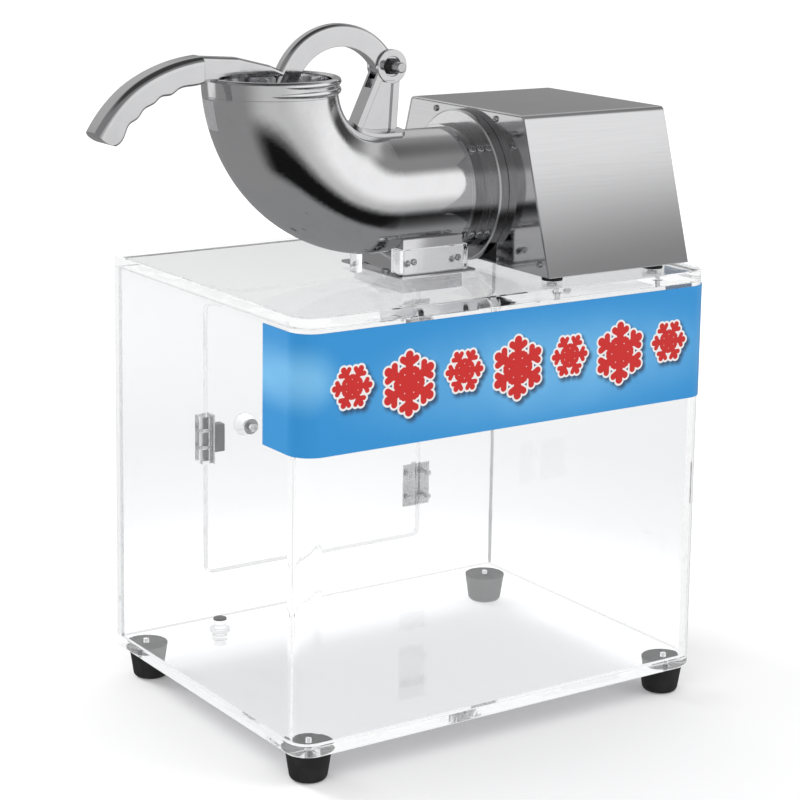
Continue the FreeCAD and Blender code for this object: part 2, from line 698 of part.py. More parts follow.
def drain_plug():
    tail = rod(V(DRAIN_X, DRAIN_Y, FOOT_H - DRAIN_TAIL), Z_AXIS, DRAIN_R - RUN_FIT, BASE_T + DRAIN_TAIL)
    collar = rod(V(DRAIN_X, DRAIN_Y, FLOOR_Z), Z_AXIS, DRAIN_COLLAR_R, DRAIN_COLLAR_T)
    post = rod(V(DRAIN_X, DRAIN_Y, FLOOR_Z), Z_AXIS, DRAIN_POST_R, DRAIN_COLLAR_T + DRAIN_POST_H)
    return fuse([tail, collar, post])


def plug_cap():
    top = FLOOR_Z + DRAIN_COLLAR_T + DRAIN_POST_H
    cap = rod(V(DRAIN_X, DRAIN_Y, top), Z_AXIS, DRAIN_POST_R + 0.6, DRAIN_CAP_T)
    rim = edges_where(cap, lambda m, e: m.z > top + 1 and e.Curve.TypeId == "Part::GeomCircle")
    return cap.makeFillet(0.6, rim)


# ---------------------------------------------------------------- feed elbow
def elbow_section(turn, extra):
    """Round outline at an angle round the bend, grown by extra."""
    share = max(0.0, (turn - FLARE_FROM) / (90 - FLARE_FROM))
    radius = TUBE_R + FLARE * share ** 1.2 + extra
    ring = Part.Wire(Part.makeCircle(radius, V(BEND_X, HEAD_Y, SHAFT_Z), X_AXIS))
    ring.rotate(BEND_C, Y_AXIS, turn)
    return ring


def elbow_bend(extra):
    """Solid that fills the flaring bend, grown by extra."""
    steps = 8
    return Part.makeLoft([elbow_section(90.0 * i / steps, extra) for i in range(steps + 1)], True)


def elbow_run(extra):
    """Solid that fills the elbow's straight run, grown by extra."""
    return rod(V(BEND_X, HEAD_Y, SHAFT_Z), X_AXIS, TUBE_R + extra, TUBE_END_X - BEND_X)


def elbow_riser(extra, mouth_z):
    """Solid that fills the round mouth, grown by extra."""
    depth = 3 * BEAD_R
    return rod(V(MOUTH_X, HEAD_Y, BEND_C.z - depth), Z_AXIS, MOUTH_R - RIM_SHIFT - RIM_STEP + extra,
               mouth_z - BEND_C.z + depth)


def bead(z):
    """Round bead about the mouth."""
    return Part.makeTorus(RIM_R - BEAD_R, BEAD_R, V(MOUTH_X, HEAD_Y, z), Z_AXIS)


def radial_spots(x, radius):
    """Four points round the shaft's axis, with their inward directions."""
    found = []
    for base in (COLLAR_SCREW_ANGLE, 180 - COLLAR_SCREW_ANGLE):
        for angle in (base, -base):
            a = math.radians(angle)
            out = V(0, math.cos(a), math.sin(a))
            found.append((V(x, HEAD_Y, SHAFT_Z) + out * radius, -out))
    return found


COLLAR_X0 = TUBE_END_X - COLLAR_LEN
COLLAR_SCREW_X = COLLAR_X0 + COLLAR_LEN / 2
SPIGOT_X0 = TUBE_END_X + SPIGOT_GAP
SPIGOT_SCREW_X = DRUM_X0 - 2 * COLLAR_SCREW_R
RING_Z = BEAD_TOP_Z - BEAD_PITCH - BEAD_R - RING_SKIRT


def elbow_whole():
    """Bent tube with a beaded mouth, an end collar and the discharge slot in its floor."""
    collar = rod(V(COLLAR_X0, HEAD_Y, SHAFT_Z), X_AXIS, COLLAR_R, COLLAR_LEN)
    beads = [bead(BEAD_TOP_Z - i * BEAD_PITCH) for i in range(2)]
    body = elbow_bend(0).multiFuse([elbow_run(0), elbow_riser(0, BEAD_TOP_Z + BEAD_R / 2), collar] + beads)
    through = rod(V(COLLAR_X0, HEAD_Y, SHAFT_Z), X_AXIS, TUBE_IN, COLLAR_LEN + 5)
    inner = [elbow_bend(-TUBE_T), elbow_run(-TUBE_T), elbow_riser(-TUBE_T, RIM_TOP + 5), through]
    slot = box(SLOT_X0, SLOT_X1, HEAD_Y - SLOT_HALF, HEAD_Y + SLOT_HALF, SHAFT_Z - TUBE_R - 5,
               SHAFT_Z - SLOT_HALF)
    drills = [rod(p - d, d, COLLAR_SCREW_R + THREAD_PLAY, COLLAR_R - TUBE_IN + 2)
              for p, d in radial_spots(COLLAR_SCREW_X, COLLAR_R)]
    return cut(body, inner + [slot] + drills)


def between(x0=MOUTH_X - 2 * RIM_R, x1=TUBE_END_X + RIM_R, y0=HEAD_Y - 2 * RIM_R, y1=HEAD_Y + 2 * RIM_R,
            z0=SHAFT_Z - 2 * RIM_R, z1=RIM_TOP + 1):
    """Block that bounds one piece of the elbow between its weld lines."""
    return box(x0, x1, y0, y1, z0, z1)


def elbow_shells():
    """The elbow's two pressed halves, welded along its middle plane."""
    whole = elbow_whole()
    return {"front": whole.common(between(x1=COLLAR_X0, y1=HEAD_Y, z1=RING_Z)),
            "back": whole.common(between(x1=COLLAR_X0, y0=HEAD_Y, z1=RING_Z))}


def mouth_ring():
    """Beaded ring welded round the mouth."""
    return elbow_whole().common(between(z0=RING_Z))


def end_collar():
    """Collar welded on the elbow's end, over the drum's spigot."""
    return elbow_whole().common(between(x0=COLLAR_X0))


def collar_screws():
    """Radial screws of the collar and the spigot."""
    depth = COLLAR_R - TUBE_IN - 0.5
    made = [pan_screw(p, d, COLLAR_SCREW_R, depth) for p, d in radial_spots(COLLAR_SCREW_X, COLLAR_R)]
    made += [pan_screw(p, d, COLLAR_SCREW_R, depth) for p, d in radial_spots(SPIGOT_SCREW_X, COLLAR_R)]
    return made


DRUM_BOLT_PCD = 76.0
DRUM_BOLT_R = 2.5


def drum_bolt_spots(x):
    return [V(x, HEAD_Y + DRUM_BOLT_PCD / 2 * math.cos(math.radians(a)),
              SHAFT_Z + DRUM_BOLT_PCD / 2 * math.sin(math.radians(a))) for a in (45, 135, 225, 315)]


def bearing_drum():
    """Round cover behind the blade chamber, with a spigot, a hub and a pocket for the seal."""
    plate = shaft_rod(DRUM_X0, DRUM_X1, DRUM_R)
    rim = edges_where(plate, lambda m, e: e.Curve.TypeId == "Part::GeomCircle" and m.x < DRUM_X0 + 1)
    plate = plate.makeChamfer(DRUM_BEVEL, rim)
    spigot = ring_on_shaft(SPIGOT_X0, DRUM_X0 + 1, TUBE_IN, COLLAR_R)
    hub = shaft_rod(DRUM_X0 - HUB_LEN, DRUM_X0 + 1, HUB_R)
    body = fuse([plate, spigot, hub])
    bore = shaft_rod(DRUM_X0 - HUB_LEN - 1, DRUM_X1 + 1, SHAFT_R + 0.5)
    pocket = shaft_rod(DRUM_X0 - HUB_LEN - 1, DRUM_X0 - HUB_LEN + SEAL_LEN, SEAL_R)
    drills = [rod(p - d, d, COLLAR_SCREW_R + THREAD_PLAY, COLLAR_R - TUBE_IN + 2)
              for p, d in radial_spots(SPIGOT_SCREW_X, COLLAR_R)]
    bolts = holes(drum_bolt_spots(DRUM_X0), X_AXIS, DRUM_BOLT_R + HOLE_PLAY, DRUM_X1 - DRUM_X0 + 2)
    return cut(body, [bore, pocket] + drills + bolts)


def shaft_seal():
    x0 = DRUM_X0 - HUB_LEN
    return ring_on_shaft(x0 + 0.2, x0 + SEAL_LEN, SHAFT_R + RUN_FIT, SEAL_R - 0.02)


def drum_bolts():
    return [pan_screw(p, X_AXIS, DRUM_BOLT_R, MOTOR_X0 - DRUM_X0 - 3) for p in drum_bolt_spots(DRUM_X0)]


# ---------------------------------------------------------------- blade rotor
def turned(shape, angle):
    """Copy of a shape turned about the blade shaft."""
    copy = shape.copy()
    copy.rotate(SHAFT_AXIS, X_AXIS, angle)
    return copy


BLADE_X0 = DISC_X0 - BLADE_T
BLADE_SCREW_OUT = (BLADE_R0 + 7.0, BLADE_R0 + BLADE_L - 7.0)
BLADE_ANGLES = [i * 360.0 / BLADE_COUNT for i in range(BLADE_COUNT)]


def blade_shape():
    """Flat cutter bolted on the disc's face, with its ground edge at the slot."""
    y0 = HEAD_Y - BLADE_W / 2
    bevel = BLADE_T * 1.6
    section = [V(0, y0, DISC_X0), V(0, y0 + BLADE_W, DISC_X0), V(0, y0 + BLADE_W - bevel, BLADE_X0),
               V(0, y0, BLADE_X0)]
    z0 = SHAFT_Z + BLADE_R0
    outline = [V(p.z, p.y, z0) for p in section]
    blade = prism(outline, V(0, 0, BLADE_L))
    drills = [rod(V(BLADE_X0 - 1, HEAD_Y - 2, SHAFT_Z + r), X_AXIS, M3_R + HOLE_PLAY, BLADE_T + 2)
              for r in BLADE_SCREW_OUT]
    return cut(blade, drills)


def blades():
    return [turned(blade_shape(), a) for a in BLADE_ANGLES]


def blade_screws():
    made = []
    for angle in BLADE_ANGLES:
        for r in BLADE_SCREW_OUT:
            screw = pan_screw(V(BLADE_X0, HEAD_Y - 2, SHAFT_Z + r), X_AXIS, M3_R, BLADE_T + DISC_T - 0.5)
            made.append(turned(screw, angle))
    return made


def blade_disc():
    """Round carrier with one slot in front of each blade's edge."""
    plate = shaft_rod(DISC_X0, DISC_X0 + DISC_T, DISC_R)
    hub = shaft_rod(DISC_X0, DISC_X0 + DISC_T + DISC_HUB_LEN, DISC_HUB_R)
    body = fuse([plate, hub])
    tools = [shaft_rod(DISC_X0 - 1, DISC_X0 + DISC_T + DISC_HUB_LEN + 1, SHAFT_R)]
    slot = box(DISC_X0 - 1, DISC_X0 + DISC_T + 1, HEAD_Y + BLADE_W / 2 - 1,
               HEAD_Y + BLADE_W / 2 - 1 + BLADE_SLOT_W, SHAFT_Z + DISC_HUB_R + 1,
               SHAFT_Z + BLADE_R0 + BLADE_L - 2)
    drill = [rod(V(DISC_X0 - 1, HEAD_Y - 2, SHAFT_Z + r), X_AXIS, M3_R + THREAD_PLAY, DISC_T + 2)
             for r in BLADE_SCREW_OUT]
    for angle in BLADE_ANGLES:
        tools += [turned(t, angle) for t in [slot] + drill]
    return cut(body, tools)


def drive_shaft():
    tip_len = SHAFT_NUT_T + 2
    bar = shaft_rod(DISC_X0, SHAFT_END_X, SHAFT_R)
    tip = shaft_rod(DISC_X0 - tip_len, DISC_X0 + 1, SHAFT_TIP_R)
    return fuse([bar, tip])


def shaft_nut():
    return hex_nut(V(DISC_X0, HEAD_Y, SHAFT_Z), -X_AXIS, SHAFT_NUT_AF, SHAFT_NUT_T,
                   SHAFT_TIP_R + THREAD_PLAY)


# ---------------------------------------------------------------- motor
def motor_front_cap():
    body = shaft_rod(FLANGE_X0, MOTOR_X0, FLANGE_R)
    pocket = shaft_rod(MOTOR_X0 - BEARING_T, MOTOR_X0 + 1, BEARING_R)
    bore = shaft_rod(FLANGE_X0 - 1, MOTOR_X0 + 1, SHAFT_R + 1)
    threads = holes(drum_bolt_spots(FLANGE_X0), X_AXIS, DRUM_BOLT_R + THREAD_PLAY, MOTOR_X0 - FLANGE_X0 - 1)
    return cut(body, [pocket, bore] + threads)


def motor_shell():
    """Ribbed aluminium barrel of the motor."""
    barrel = shaft_rod(MOTOR_X0, MOTOR_X1, MOTOR_R)
    return barrel.cut(shaft_rod(MOTOR_X0 - 1, MOTOR_X1 + 1, MOTOR_R - MOTOR_WALL))


def motor_rear_cap():
    body = shaft_rod(MOTOR_X1, MOTOR_X1 + REAR_CAP_T, MOTOR_R)
    pocket = shaft_rod(MOTOR_X1 - 1, MOTOR_X1 + BEARING_T, BEARING_R)
    bore = shaft_rod(MOTOR_X1 - 1, MOTOR_X1 + REAR_CAP_T + 1, SHAFT_R + 1)
    return cut(body, [pocket, bore])


def stator_core():
    return ring_on_shaft(MOTOR_X0 + STATOR_END, MOTOR_X1 - STATOR_END, STATOR_R, MOTOR_R - MOTOR_WALL)


def rotor_core():
    return ring_on_shaft(MOTOR_X0 + STATOR_END, MOTOR_X1 - STATOR_END, SHAFT_R, STATOR_R - AIR_GAP)


def bearings():
    spans = ((MOTOR_X0 - BEARING_T, MOTOR_X0), (MOTOR_X1, MOTOR_X1 + BEARING_T))
    return [ring_on_shaft(x0, x1, SHAFT_R + RUN_FIT, BEARING_R - 0.02) for x0, x1 in spans]


def cooling_fan():
    hub = ring_on_shaft(FAN_X0, FAN_X0 + FAN_T, SHAFT_R, FAN_HUB_R)
    back = ring_on_shaft(FAN_X0, FAN_X0 + FAN_SHEET, SHAFT_R, FAN_R)
    vane = box(FAN_X0, FAN_X0 + FAN_T, HEAD_Y - FAN_SHEET / 2, HEAD_Y + FAN_SHEET / 2,
               SHAFT_Z + FAN_HUB_R - 1, SHAFT_Z + FAN_R - 1)
    vanes = [turned(vane, i * 360.0 / FAN_BLADES) for i in range(FAN_BLADES)]
    return fuse([hub, back] + vanes)


def cradle_bolt_spots():
    out = CRADLE_HALF - 6
    return [V(x + CRADLE_W + 12 * s, HEAD_Y + side * out, HOUSE_Z0)
            for x, s in ((CRADLE_X[0], 1), (CRADLE_X[1], -2)) for side in (-1, 1)]


def motor_cradle():
    """Foot plate with two saddles under the motor."""
    z0 = HOUSE_Z0 + HOUSE_BASE_T
    y0, y1 = HEAD_Y - CRADLE_HALF, HEAD_Y + CRADLE_HALF
    plate = box(CRADLE_X[0], CRADLE_X[1] + CRADLE_W, y0, y1, z0, z0 + CRADLE_PLATE_T)
    saddles = [box(x, x + CRADLE_W, y0, y1, z0, CRADLE_TOP) for x in CRADLE_X]
    body = fuse([plate] + saddles)
    room = shaft_rod(CRADLE_X[0] - 5, CRADLE_X[1] + CRADLE_W + 5, MOTOR_R + SEAT_GAP)
    drills = holes(cradle_bolt_spots(), Z_AXIS, M4_R + HOLE_PLAY, HOUSE_BASE_T + CRADLE_PLATE_T + 2)
    return cut(body, [room] + drills)


def cradle_bolts():
    """Bolts up through the housing's base with nuts on the cradle."""
    made = []
    stack = HOUSE_BASE_T + CRADLE_PLATE_T
    for p in cradle_bolt_spots():
        made.append(pan_screw(p, Z_AXIS, M4_R, stack + M4_R * 2))
        made.append(hex_nut(at_z(p, HOUSE_Z0 + stack), Z_AXIS, 7.0, 3.0, M4_R + THREAD_PLAY))
    return made


# ---------------------------------------------------------------- housing
def house_outline(x, inset):
    """Closed trapezoid wire across the housing, with rounded upper corners."""
    slope = (HOUSE_BOTTOM_HALF - HOUSE_TOP_HALF) / (HOUSE_Z1 - HOUSE_Z0)
    side_inset = inset * math.hypot(1, slope)
    top_z = HOUSE_Z1 - inset
    half_top = HOUSE_TOP_HALF + slope * inset - side_inset
    half_low = HOUSE_BOTTOM_HALF - side_inset
    return [V(x, HEAD_Y - half_low, HOUSE_Z0), V(x, HEAD_Y - half_top, top_z),
            V(x, HEAD_Y + half_top, top_z), V(x, HEAD_Y + half_low, HOUSE_Z0)]


def house_block(x0, x1, inset):
    """Solid trapezoid body with the two long upper edges rounded."""
    body = prism(house_outline(x0, inset), V(x1 - x0, 0, 0))
    top = edges_where(body, lambda m, e: is_along(e, X_AXIS) and m.z > HOUSE_Z1 - 20)
    return body.makeFillet(max(HOUSE_BEND - inset, 0.5), top)


def housing_wrap():
    """Front, top and back of the housing in one bent sheet."""
    outer = house_block(HOUSE_X0, HOUSE_X1, 0)
    inner = house_block(HOUSE_X0 - 1, HOUSE_X1 + 1, SHEET_T)
    below = box(HOUSE_X0 - 2, HOUSE_X1 + 2, HEAD_Y - HOUSE_BOTTOM_HALF * 2, HEAD_Y + HOUSE_BOTTOM_HALF * 2,
                HOUSE_Z0 - 5, HOUSE_Z0)
    floor_room = prism([V(HOUSE_X0 - 1, p.y, p.z) for p in house_outline(0, SHEET_T)[::3]]
                       + [V(HOUSE_X0 - 1, HEAD_Y + HOUSE_BOTTOM_HALF - 2 * SHEET_T, HOUSE_Z0 - 1),
                          V(HOUSE_X0 - 1, HEAD_Y - HOUSE_BOTTOM_HALF + 2 * SHEET_T, HOUSE_Z0 - 1)],
                       V(HOUSE_X1 - HOUSE_X0 + 2, 0, 0))
    return cut(outer, [inner, below, floor_room])


def panel_blank(x0):
    """End panel that fits inside the wrap."""
    return house_block(x0, x0 + SHEET_T, SHEET_T + PANEL_GAP)


LEFT_PANEL_X = HOUSE_X0
RIGHT_PANEL_X = HOUSE_X1 - SHEET_T


def panel_screw_spots(x):
    low_y = HOUSE_BOTTOM_HALF - 14
    return [V(x, HEAD_Y + s * PANEL_SCREW_Y, HOUSE_Z1 - PANEL_SCREW_Z) for s in (-1, 1)] + \
           [V(x, HEAD_Y + s * low_y, HOUSE_Z0 + 10) for s in (-1, 1)]


def housing_left_panel():
    """End panel with an arch for the motor's front cap."""
    arch = [shaft_rod(HOUSE_X0 - 5, HOUSE_X0 + 5, ARCH_R),
            box(HOUSE_X0 - 5, HOUSE_X0 + 5, HEAD_Y - ARCH_R, HEAD_Y + ARCH_R, HOUSE_Z0 - 5, SHAFT_Z)]
    drills = holes(panel_screw_spots(LEFT_PANEL_X), X_AXIS, M3_R + THREAD_PLAY, SHEET_T + 2)
    return cut(panel_blank(LEFT_PANEL_X), arch + drills)


def housing_right_panel():
    """End panel with vents and openings for the switch and the cord inlet."""
    x0, x1 = RIGHT_PANEL_X - 1, HOUSE_X1 + 1
    tools = holes([p - V(2, 0, 0) for p in panel_screw_spots(RIGHT_PANEL_X)], X_AXIS,
                  M3_R + THREAD_PLAY, SHEET_T + 4)
    for i in range(VENT_COUNT):
        y = HEAD_Y + 8 + (i - (VENT_COUNT - 1) / 2) * VENT_PITCH
        slot = box(x0, x1, y - VENT_W / 2, y + VENT_W / 2, VENT_Z, VENT_Z + VENT_L)
        tools.append(slot.makeFillet(VENT_W / 2 - 0.1, edges_where(slot, lambda m, e: is_along(e, X_AXIS))))
    tools.append(box(x0, x1, SWITCH_Y - SWITCH_W / 2 - 0.2, SWITCH_Y + SWITCH_W / 2 + 0.2,
                     SWITCH_Z - SWITCH_H / 2 - 0.2, SWITCH_Z + SWITCH_H / 2 + 0.2))
    tools.append(rod(V(x0, GLAND_Y, GLAND_Z), X_AXIS, GLAND_THREAD_R, x1 - x0))
    return cut(panel_blank(RIGHT_PANEL_X), tools)


def housing_screws():
    left = [pan_screw(p, X_AXIS, M3_R, 5) for p in panel_screw_spots(LEFT_PANEL_X)]
    right = [pan_screw(at_x(p, HOUSE_X1), -X_AXIS, M3_R, 5) for p in panel_screw_spots(RIGHT_PANEL_X)]
    return left + right


def at_x(point, x):
    """The same point moved to another X."""
    return V(x, point.y, point.z)


def housing_base():
    half = HOUSE_BOTTOM_HALF - 3 * SHEET_T
    plate = box(HOUSE_X0 + SHEET_T + PANEL_GAP, RIGHT_PANEL_X - PANEL_GAP, HEAD_Y - half, HEAD_Y + half,
                HOUSE_Z0, HOUSE_Z0 + HOUSE_BASE_T)
    bolts = holes([at_z(p, HOUSE_Z0) for p in MOUNT_SPOTS], Z_AXIS, MOUNT_BOLT_R + HOLE_PLAY,
                  HOUSE_BASE_T + 2)
    cradle = holes(cradle_bolt_spots(), Z_AXIS, M4_R + HOLE_PLAY, HOUSE_BASE_T + 2)
    return cut(plate, bolts + cradle)


def head_feet():
    made = []
    for p in MOUNT_SPOTS:
        pad = rod(at_z(p, CASE_TOP), Z_AXIS, HEAD_FOOT_R, HOUSE_Z0 - CASE_TOP)
        made.append(pad.cut(rod(at_z(p, CASE_TOP - 1), Z_AXIS, MOUNT_BOLT_R + HOLE_PLAY, 10)))
    return made


def mount_bolts():
    """Bolts from under the lid through the pads, with nuts on the housing's base."""
    stack = HOUSE_Z0 + HOUSE_BASE_T - LID_UNDER
    made = []
    for p in MOUNT_SPOTS:
        made.append(pan_screw(at_z(p, LID_UNDER), Z_AXIS, MOUNT_BOLT_R, stack + 5))
        made.append(hex_nut(at_z(p, HOUSE_Z0 + HOUSE_BASE_T), Z_AXIS, 8.0, 4.0, MOUNT_BOLT_R + THREAD_PLAY))
    return made


# ---------------------------------------------------------------- switch and inlet
ROCKER_X = HOUSE_X1 - 3.5                         # the rocker's pin
ROCKER_HALF_H = SWITCH_H / 2 - SWITCH_WALL - ROCKER_CLEAR - 0.6
ROCKER_HALF_W = SWITCH_W / 2 - SWITCH_WALL - ROCKER_CLEAR


def switch_frame():
    lip = box(HOUSE_X1, HOUSE_X1 + SWITCH_LIP_T, SWITCH_Y - SWITCH_W / 2 - SWITCH_LIP,
              SWITCH_Y + SWITCH_W / 2 + SWITCH_LIP, SWITCH_Z - SWITCH_H / 2 - SWITCH_LIP,
              SWITCH_Z + SWITCH_H / 2 + SWITCH_LIP)
    rims = edges_where(lip, lambda m, e: m.x > HOUSE_X1 + SWITCH_LIP_T - 0.1)
    lip = lip.makeFillet(1.2, rims)
    can = box(HOUSE_X1 - SWITCH_DEPTH, HOUSE_X1 + 1, SWITCH_Y - SWITCH_W / 2, SWITCH_Y + SWITCH_W / 2,
              SWITCH_Z - SWITCH_H / 2, SWITCH_Z + SWITCH_H / 2)
    room = box(HOUSE_X1 - SWITCH_DEPTH + SWITCH_WALL, HOUSE_X1 + SWITCH_LIP_T + 1,
               SWITCH_Y - SWITCH_W / 2 + SWITCH_WALL, SWITCH_Y + SWITCH_W / 2 - SWITCH_WALL,
               SWITCH_Z - SWITCH_H / 2 + SWITCH_WALL, SWITCH_Z + SWITCH_H / 2 - SWITCH_WALL)
    pin_holes = rod(V(ROCKER_X, SWITCH_Y - SWITCH_W / 2 + 0.2, SWITCH_Z), Y_AXIS, ROCKER_PIN_R + RUN_FIT,
                    SWITCH_W - 0.4)
    return cut(fuse([lip, can]), [room, pin_holes])


def switch_rocker():
    """Shallow V-faced rocker, drawn in its off position."""
    h, face, dip = ROCKER_HALF_H, 5.0, 3.4
    section = [V(-3, 0, -h * 0.8), V(face, 0, -h), V(dip, 0, 0), V(face, 0, h), V(-3, 0, h * 0.8)]
    body = prism([V(p.x, -ROCKER_HALF_W, p.z) for p in section], V(0, 2 * ROCKER_HALF_W, 0))
    pin = rod(V(0, -SWITCH_W / 2 + 0.5, 0), Y_AXIS, ROCKER_PIN_R, SWITCH_W - 1)
    body = fuse([body, pin])
    body.rotate(V(0, 0, 0), Y_AXIS, -ROCKER_TILT)
    body.translate(V(ROCKER_X, SWITCH_Y, SWITCH_Z))
    return body


def cord_gland():
    """Empty inlet bush for the mains lead."""
    nut = hex_nut(V(HOUSE_X1, GLAND_Y, GLAND_Z), X_AXIS, GLAND_R * 2, GLAND_NUT_T, GLAND_BORE)
    nose = Part.makeCone(GLAND_R - 2, GLAND_BORE + 2, GLAND_OUT - GLAND_NUT_T,
                         V(HOUSE_X1 + GLAND_NUT_T, GLAND_Y, GLAND_Z), X_AXIS)
    body = rod(V(RIGHT_PANEL_X - GLAND_IN, GLAND_Y, GLAND_Z), X_AXIS, GLAND_THREAD_R - 0.1,
               GLAND_IN + SHEET_T + 1)
    bore = rod(V(RIGHT_PANEL_X - GLAND_IN - 1, GLAND_Y, GLAND_Z), X_AXIS, GLAND_BORE,
               GLAND_IN + GLAND_OUT + SHEET_T + 5)
    return cut(fuse([nut, nose, body]), [bore])


# ---------------------------------------------------------------- chute and guard
CHUTE_Y0, CHUTE_Y1 = HEAD_Y - CHUTE_HALF, HEAD_Y + CHUTE_HALF
CHUTE_HIGH = SHAFT_Z - 20.0


def ice_chute():
    """Square sheet duct from the elbow's floor through the lid, with a flange on the lid."""
    duct = box(CHUTE_X0, CHUTE_X1, CHUTE_Y0, CHUTE_Y1, LID_UNDER - CHUTE_DROP, CHUTE_HIGH)
    flange = box(CHUTE_X0 - CHUTE_FLANGE, CHUTE_X1 + CHUTE_FLANGE, CHUTE_Y0 - CHUTE_FLANGE,
                 CHUTE_Y1 + CHUTE_FLANGE, CASE_TOP, CASE_TOP + CHUTE_FLANGE_T)
    flange = flange.makeFillet(4, edges_where(flange, lambda m, e: is_along(e, Z_AXIS)))
    bore = box(CHUTE_X0 + CHUTE_T, CHUTE_X1 - CHUTE_T, CHUTE_Y0 + CHUTE_T, CHUTE_Y1 - CHUTE_T,
               LID_UNDER - CHUTE_DROP - 1, CHUTE_HIGH + 1)
    tube = [elbow_run(SEAT_GAP), elbow_bend(SEAT_GAP)]
    drills = holes([at_z(p, CASE_TOP) for p in CHUTE_SCREW_SPOTS], Z_AXIS, M4_R + HOLE_PLAY,
                   CHUTE_FLANGE_T + 1)
    threads = holes(guard_screw_spots(), Y_AXIS, M3_R + THREAD_PLAY, GUARD_T + CHUTE_T + 2)
    return cut(fuse([duct, flange]), [bore] + tube + drills + threads)


def chute_screws():
    return [pan_screw(at_z(p, CASE_TOP + CHUTE_FLANGE_T), -Z_AXIS, M4_R, LID_T) for p in CHUTE_SCREW_SPOTS]


GUARD_Y1 = CHUTE_Y0 - GUARD_GAP
GUARD_Y0 = GUARD_Y1 - GUARD_T


def guard_screw_spots():
    return [V(x, GUARD_Y0, GUARD_SCREW_Z) for x in (CHUTE_X0 + GUARD_SCREW_IN, CHUTE_X1 - GUARD_SCREW_IN)]


def chute_guard():
    """Clear channel that shields the front of the chute."""
    z0 = CASE_TOP + CHUTE_FLANGE_T
    x0, x1 = CHUTE_X0 - GUARD_GAP - GUARD_T, CHUTE_X1 + GUARD_GAP + GUARD_T
    outer = box(x0, x1, GUARD_Y0, GUARD_Y1 + GUARD_RETURN, z0, GUARD_TOP)
    corners = edges_where(outer, lambda m, e: is_along(e, Z_AXIS) and m.y < GUARD_Y0 + 1)
    outer = outer.makeFillet(GUARD_T - 0.5, corners)
    room = box(CHUTE_X0 - GUARD_GAP, CHUTE_X1 + GUARD_GAP, GUARD_Y1, GUARD_Y1 + GUARD_RETURN + 1,
               z0 - 1, GUARD_TOP + 1)
    collar = shaft_rod(COLLAR_X0 - GUARD_GAP, CHUTE_X1 + GUARD_T + 1, COLLAR_R + GUARD_GAP)
    drills = holes(guard_screw_spots(), Y_AXIS, M3_R + HOLE_PLAY, GUARD_T + 2)
    return cut(outer, [room, collar, elbow_run(GUARD_GAP)] + drills)


def guard_screws():
    return [pan_screw(p, Y_AXIS, M3_R, GUARD_T + GUARD_GAP + CHUTE_T) for p in guard_screw_spots()]


def support_post():
    """Clear peg on the lid under the elbow's bend."""
    post = rod(V(POST_X, HEAD_Y, CASE_TOP), Z_AXIS, POST_R, SHAFT_Z - TUBE_R / 2 - CASE_TOP)
    return post.cut(elbow_bend(SEAT_GAP))


# ---------------------------------------------------------------- lever bracket
def leg_edge(top, foot, drop):
    """Distance from the pivot along X of a leg's edge, at a drop below the pivot."""
    return top + (foot - top) * (drop - LEG_TOP_DROP) / (LEG_FOOT_DROP - LEG_TOP_DROP)


def leg_outline(y, high, low, rib):
    """Leg between two drops below the pivot, with each edge moved inwards by rib."""
    points = []
    for drop, order in ((high, 1), (low, -1)):
        back = PIVOT_X - leg_edge(LEG_TOP_BACK, LEG_FOOT_BACK, drop) + rib * 1.1
        front = PIVOT_X + leg_edge(LEG_TOP_FRONT, LEG_FOOT_FRONT, drop) - rib
        points += [V(back, y, PIVOT_Z - drop), V(front, y, PIVOT_Z - drop)][::order]
    return points


def sunk_panel(side):
    """Cutter for the sunk panel in one side of the leg."""
    low = PIVOT_Z - SHAFT_Z - TUBE_R / 2
    face_y = HEAD_Y + side * LEG_W / 2
    outline = leg_outline(face_y - side * PANEL_DEPTH, PANEL_TOP_DROP, low, PANEL_RIB)
    return prism(outline, V(0, side * (PANEL_DEPTH + 1), 0))


def pivot_bracket():
    """Forked leg on a saddle that follows the top of the elbow."""
    low = PIVOT_Z - SHAFT_Z - TUBE_R / 2
    leg = prism(leg_outline(HEAD_Y - LEG_W / 2, 0, low, 0), V(0, LEG_W, 0))
    ears = rod(V(PIVOT_X, HEAD_Y - EAR_OUT, PIVOT_Z), Y_AXIS, EAR_R, 2 * EAR_OUT)
    fork = box(PIVOT_X - 2 * EAR_R, PIVOT_X + 2 * EAR_R, HEAD_Y - EAR_IN, HEAD_Y + EAR_IN,
               PIVOT_Z - FORK_DROP, PIVOT_Z + 2 * EAR_R)
    bore = rod(V(PIVOT_X, HEAD_Y - EAR_OUT - 1, PIVOT_Z), Y_AXIS, PIN_R + RUN_FIT, 2 * EAR_OUT + 2)
    recesses = [rod(V(PIVOT_X, HEAD_Y + side * (EAR_OUT - EAR_RECESS_T), PIVOT_Z), Y_AXIS * side,
                    EAR_RECESS_R, EAR_RECESS_T + 1) for side in (-1, 1)]
    grown = [elbow_bend(SADDLE_T), elbow_run(SADDLE_T)]
    panels = [cut(sunk_panel(side), grown) for side in (-1, 1)]
    stand = cut(leg.fuse(ears), [fork, bore] + recesses + panels)
    window = box(PIVOT_X - SADDLE_BACK, PIVOT_X + SADDLE_FRONT, HEAD_Y - SADDLE_HALF, HEAD_Y + SADDLE_HALF,
                 SHAFT_Z + TUBE_R / 2, PIVOT_Z - EAR_R * 2)
    window = window.makeFillet(SADDLE_CORNER, edges_where(window, lambda m, e: is_along(e, Z_AXIS)))
    pads = [part.common(window) for part in grown]
    return cut(stand.multiFuse(pads), [elbow_bend(SADDLE_GAP), elbow_run(SADDLE_GAP)])


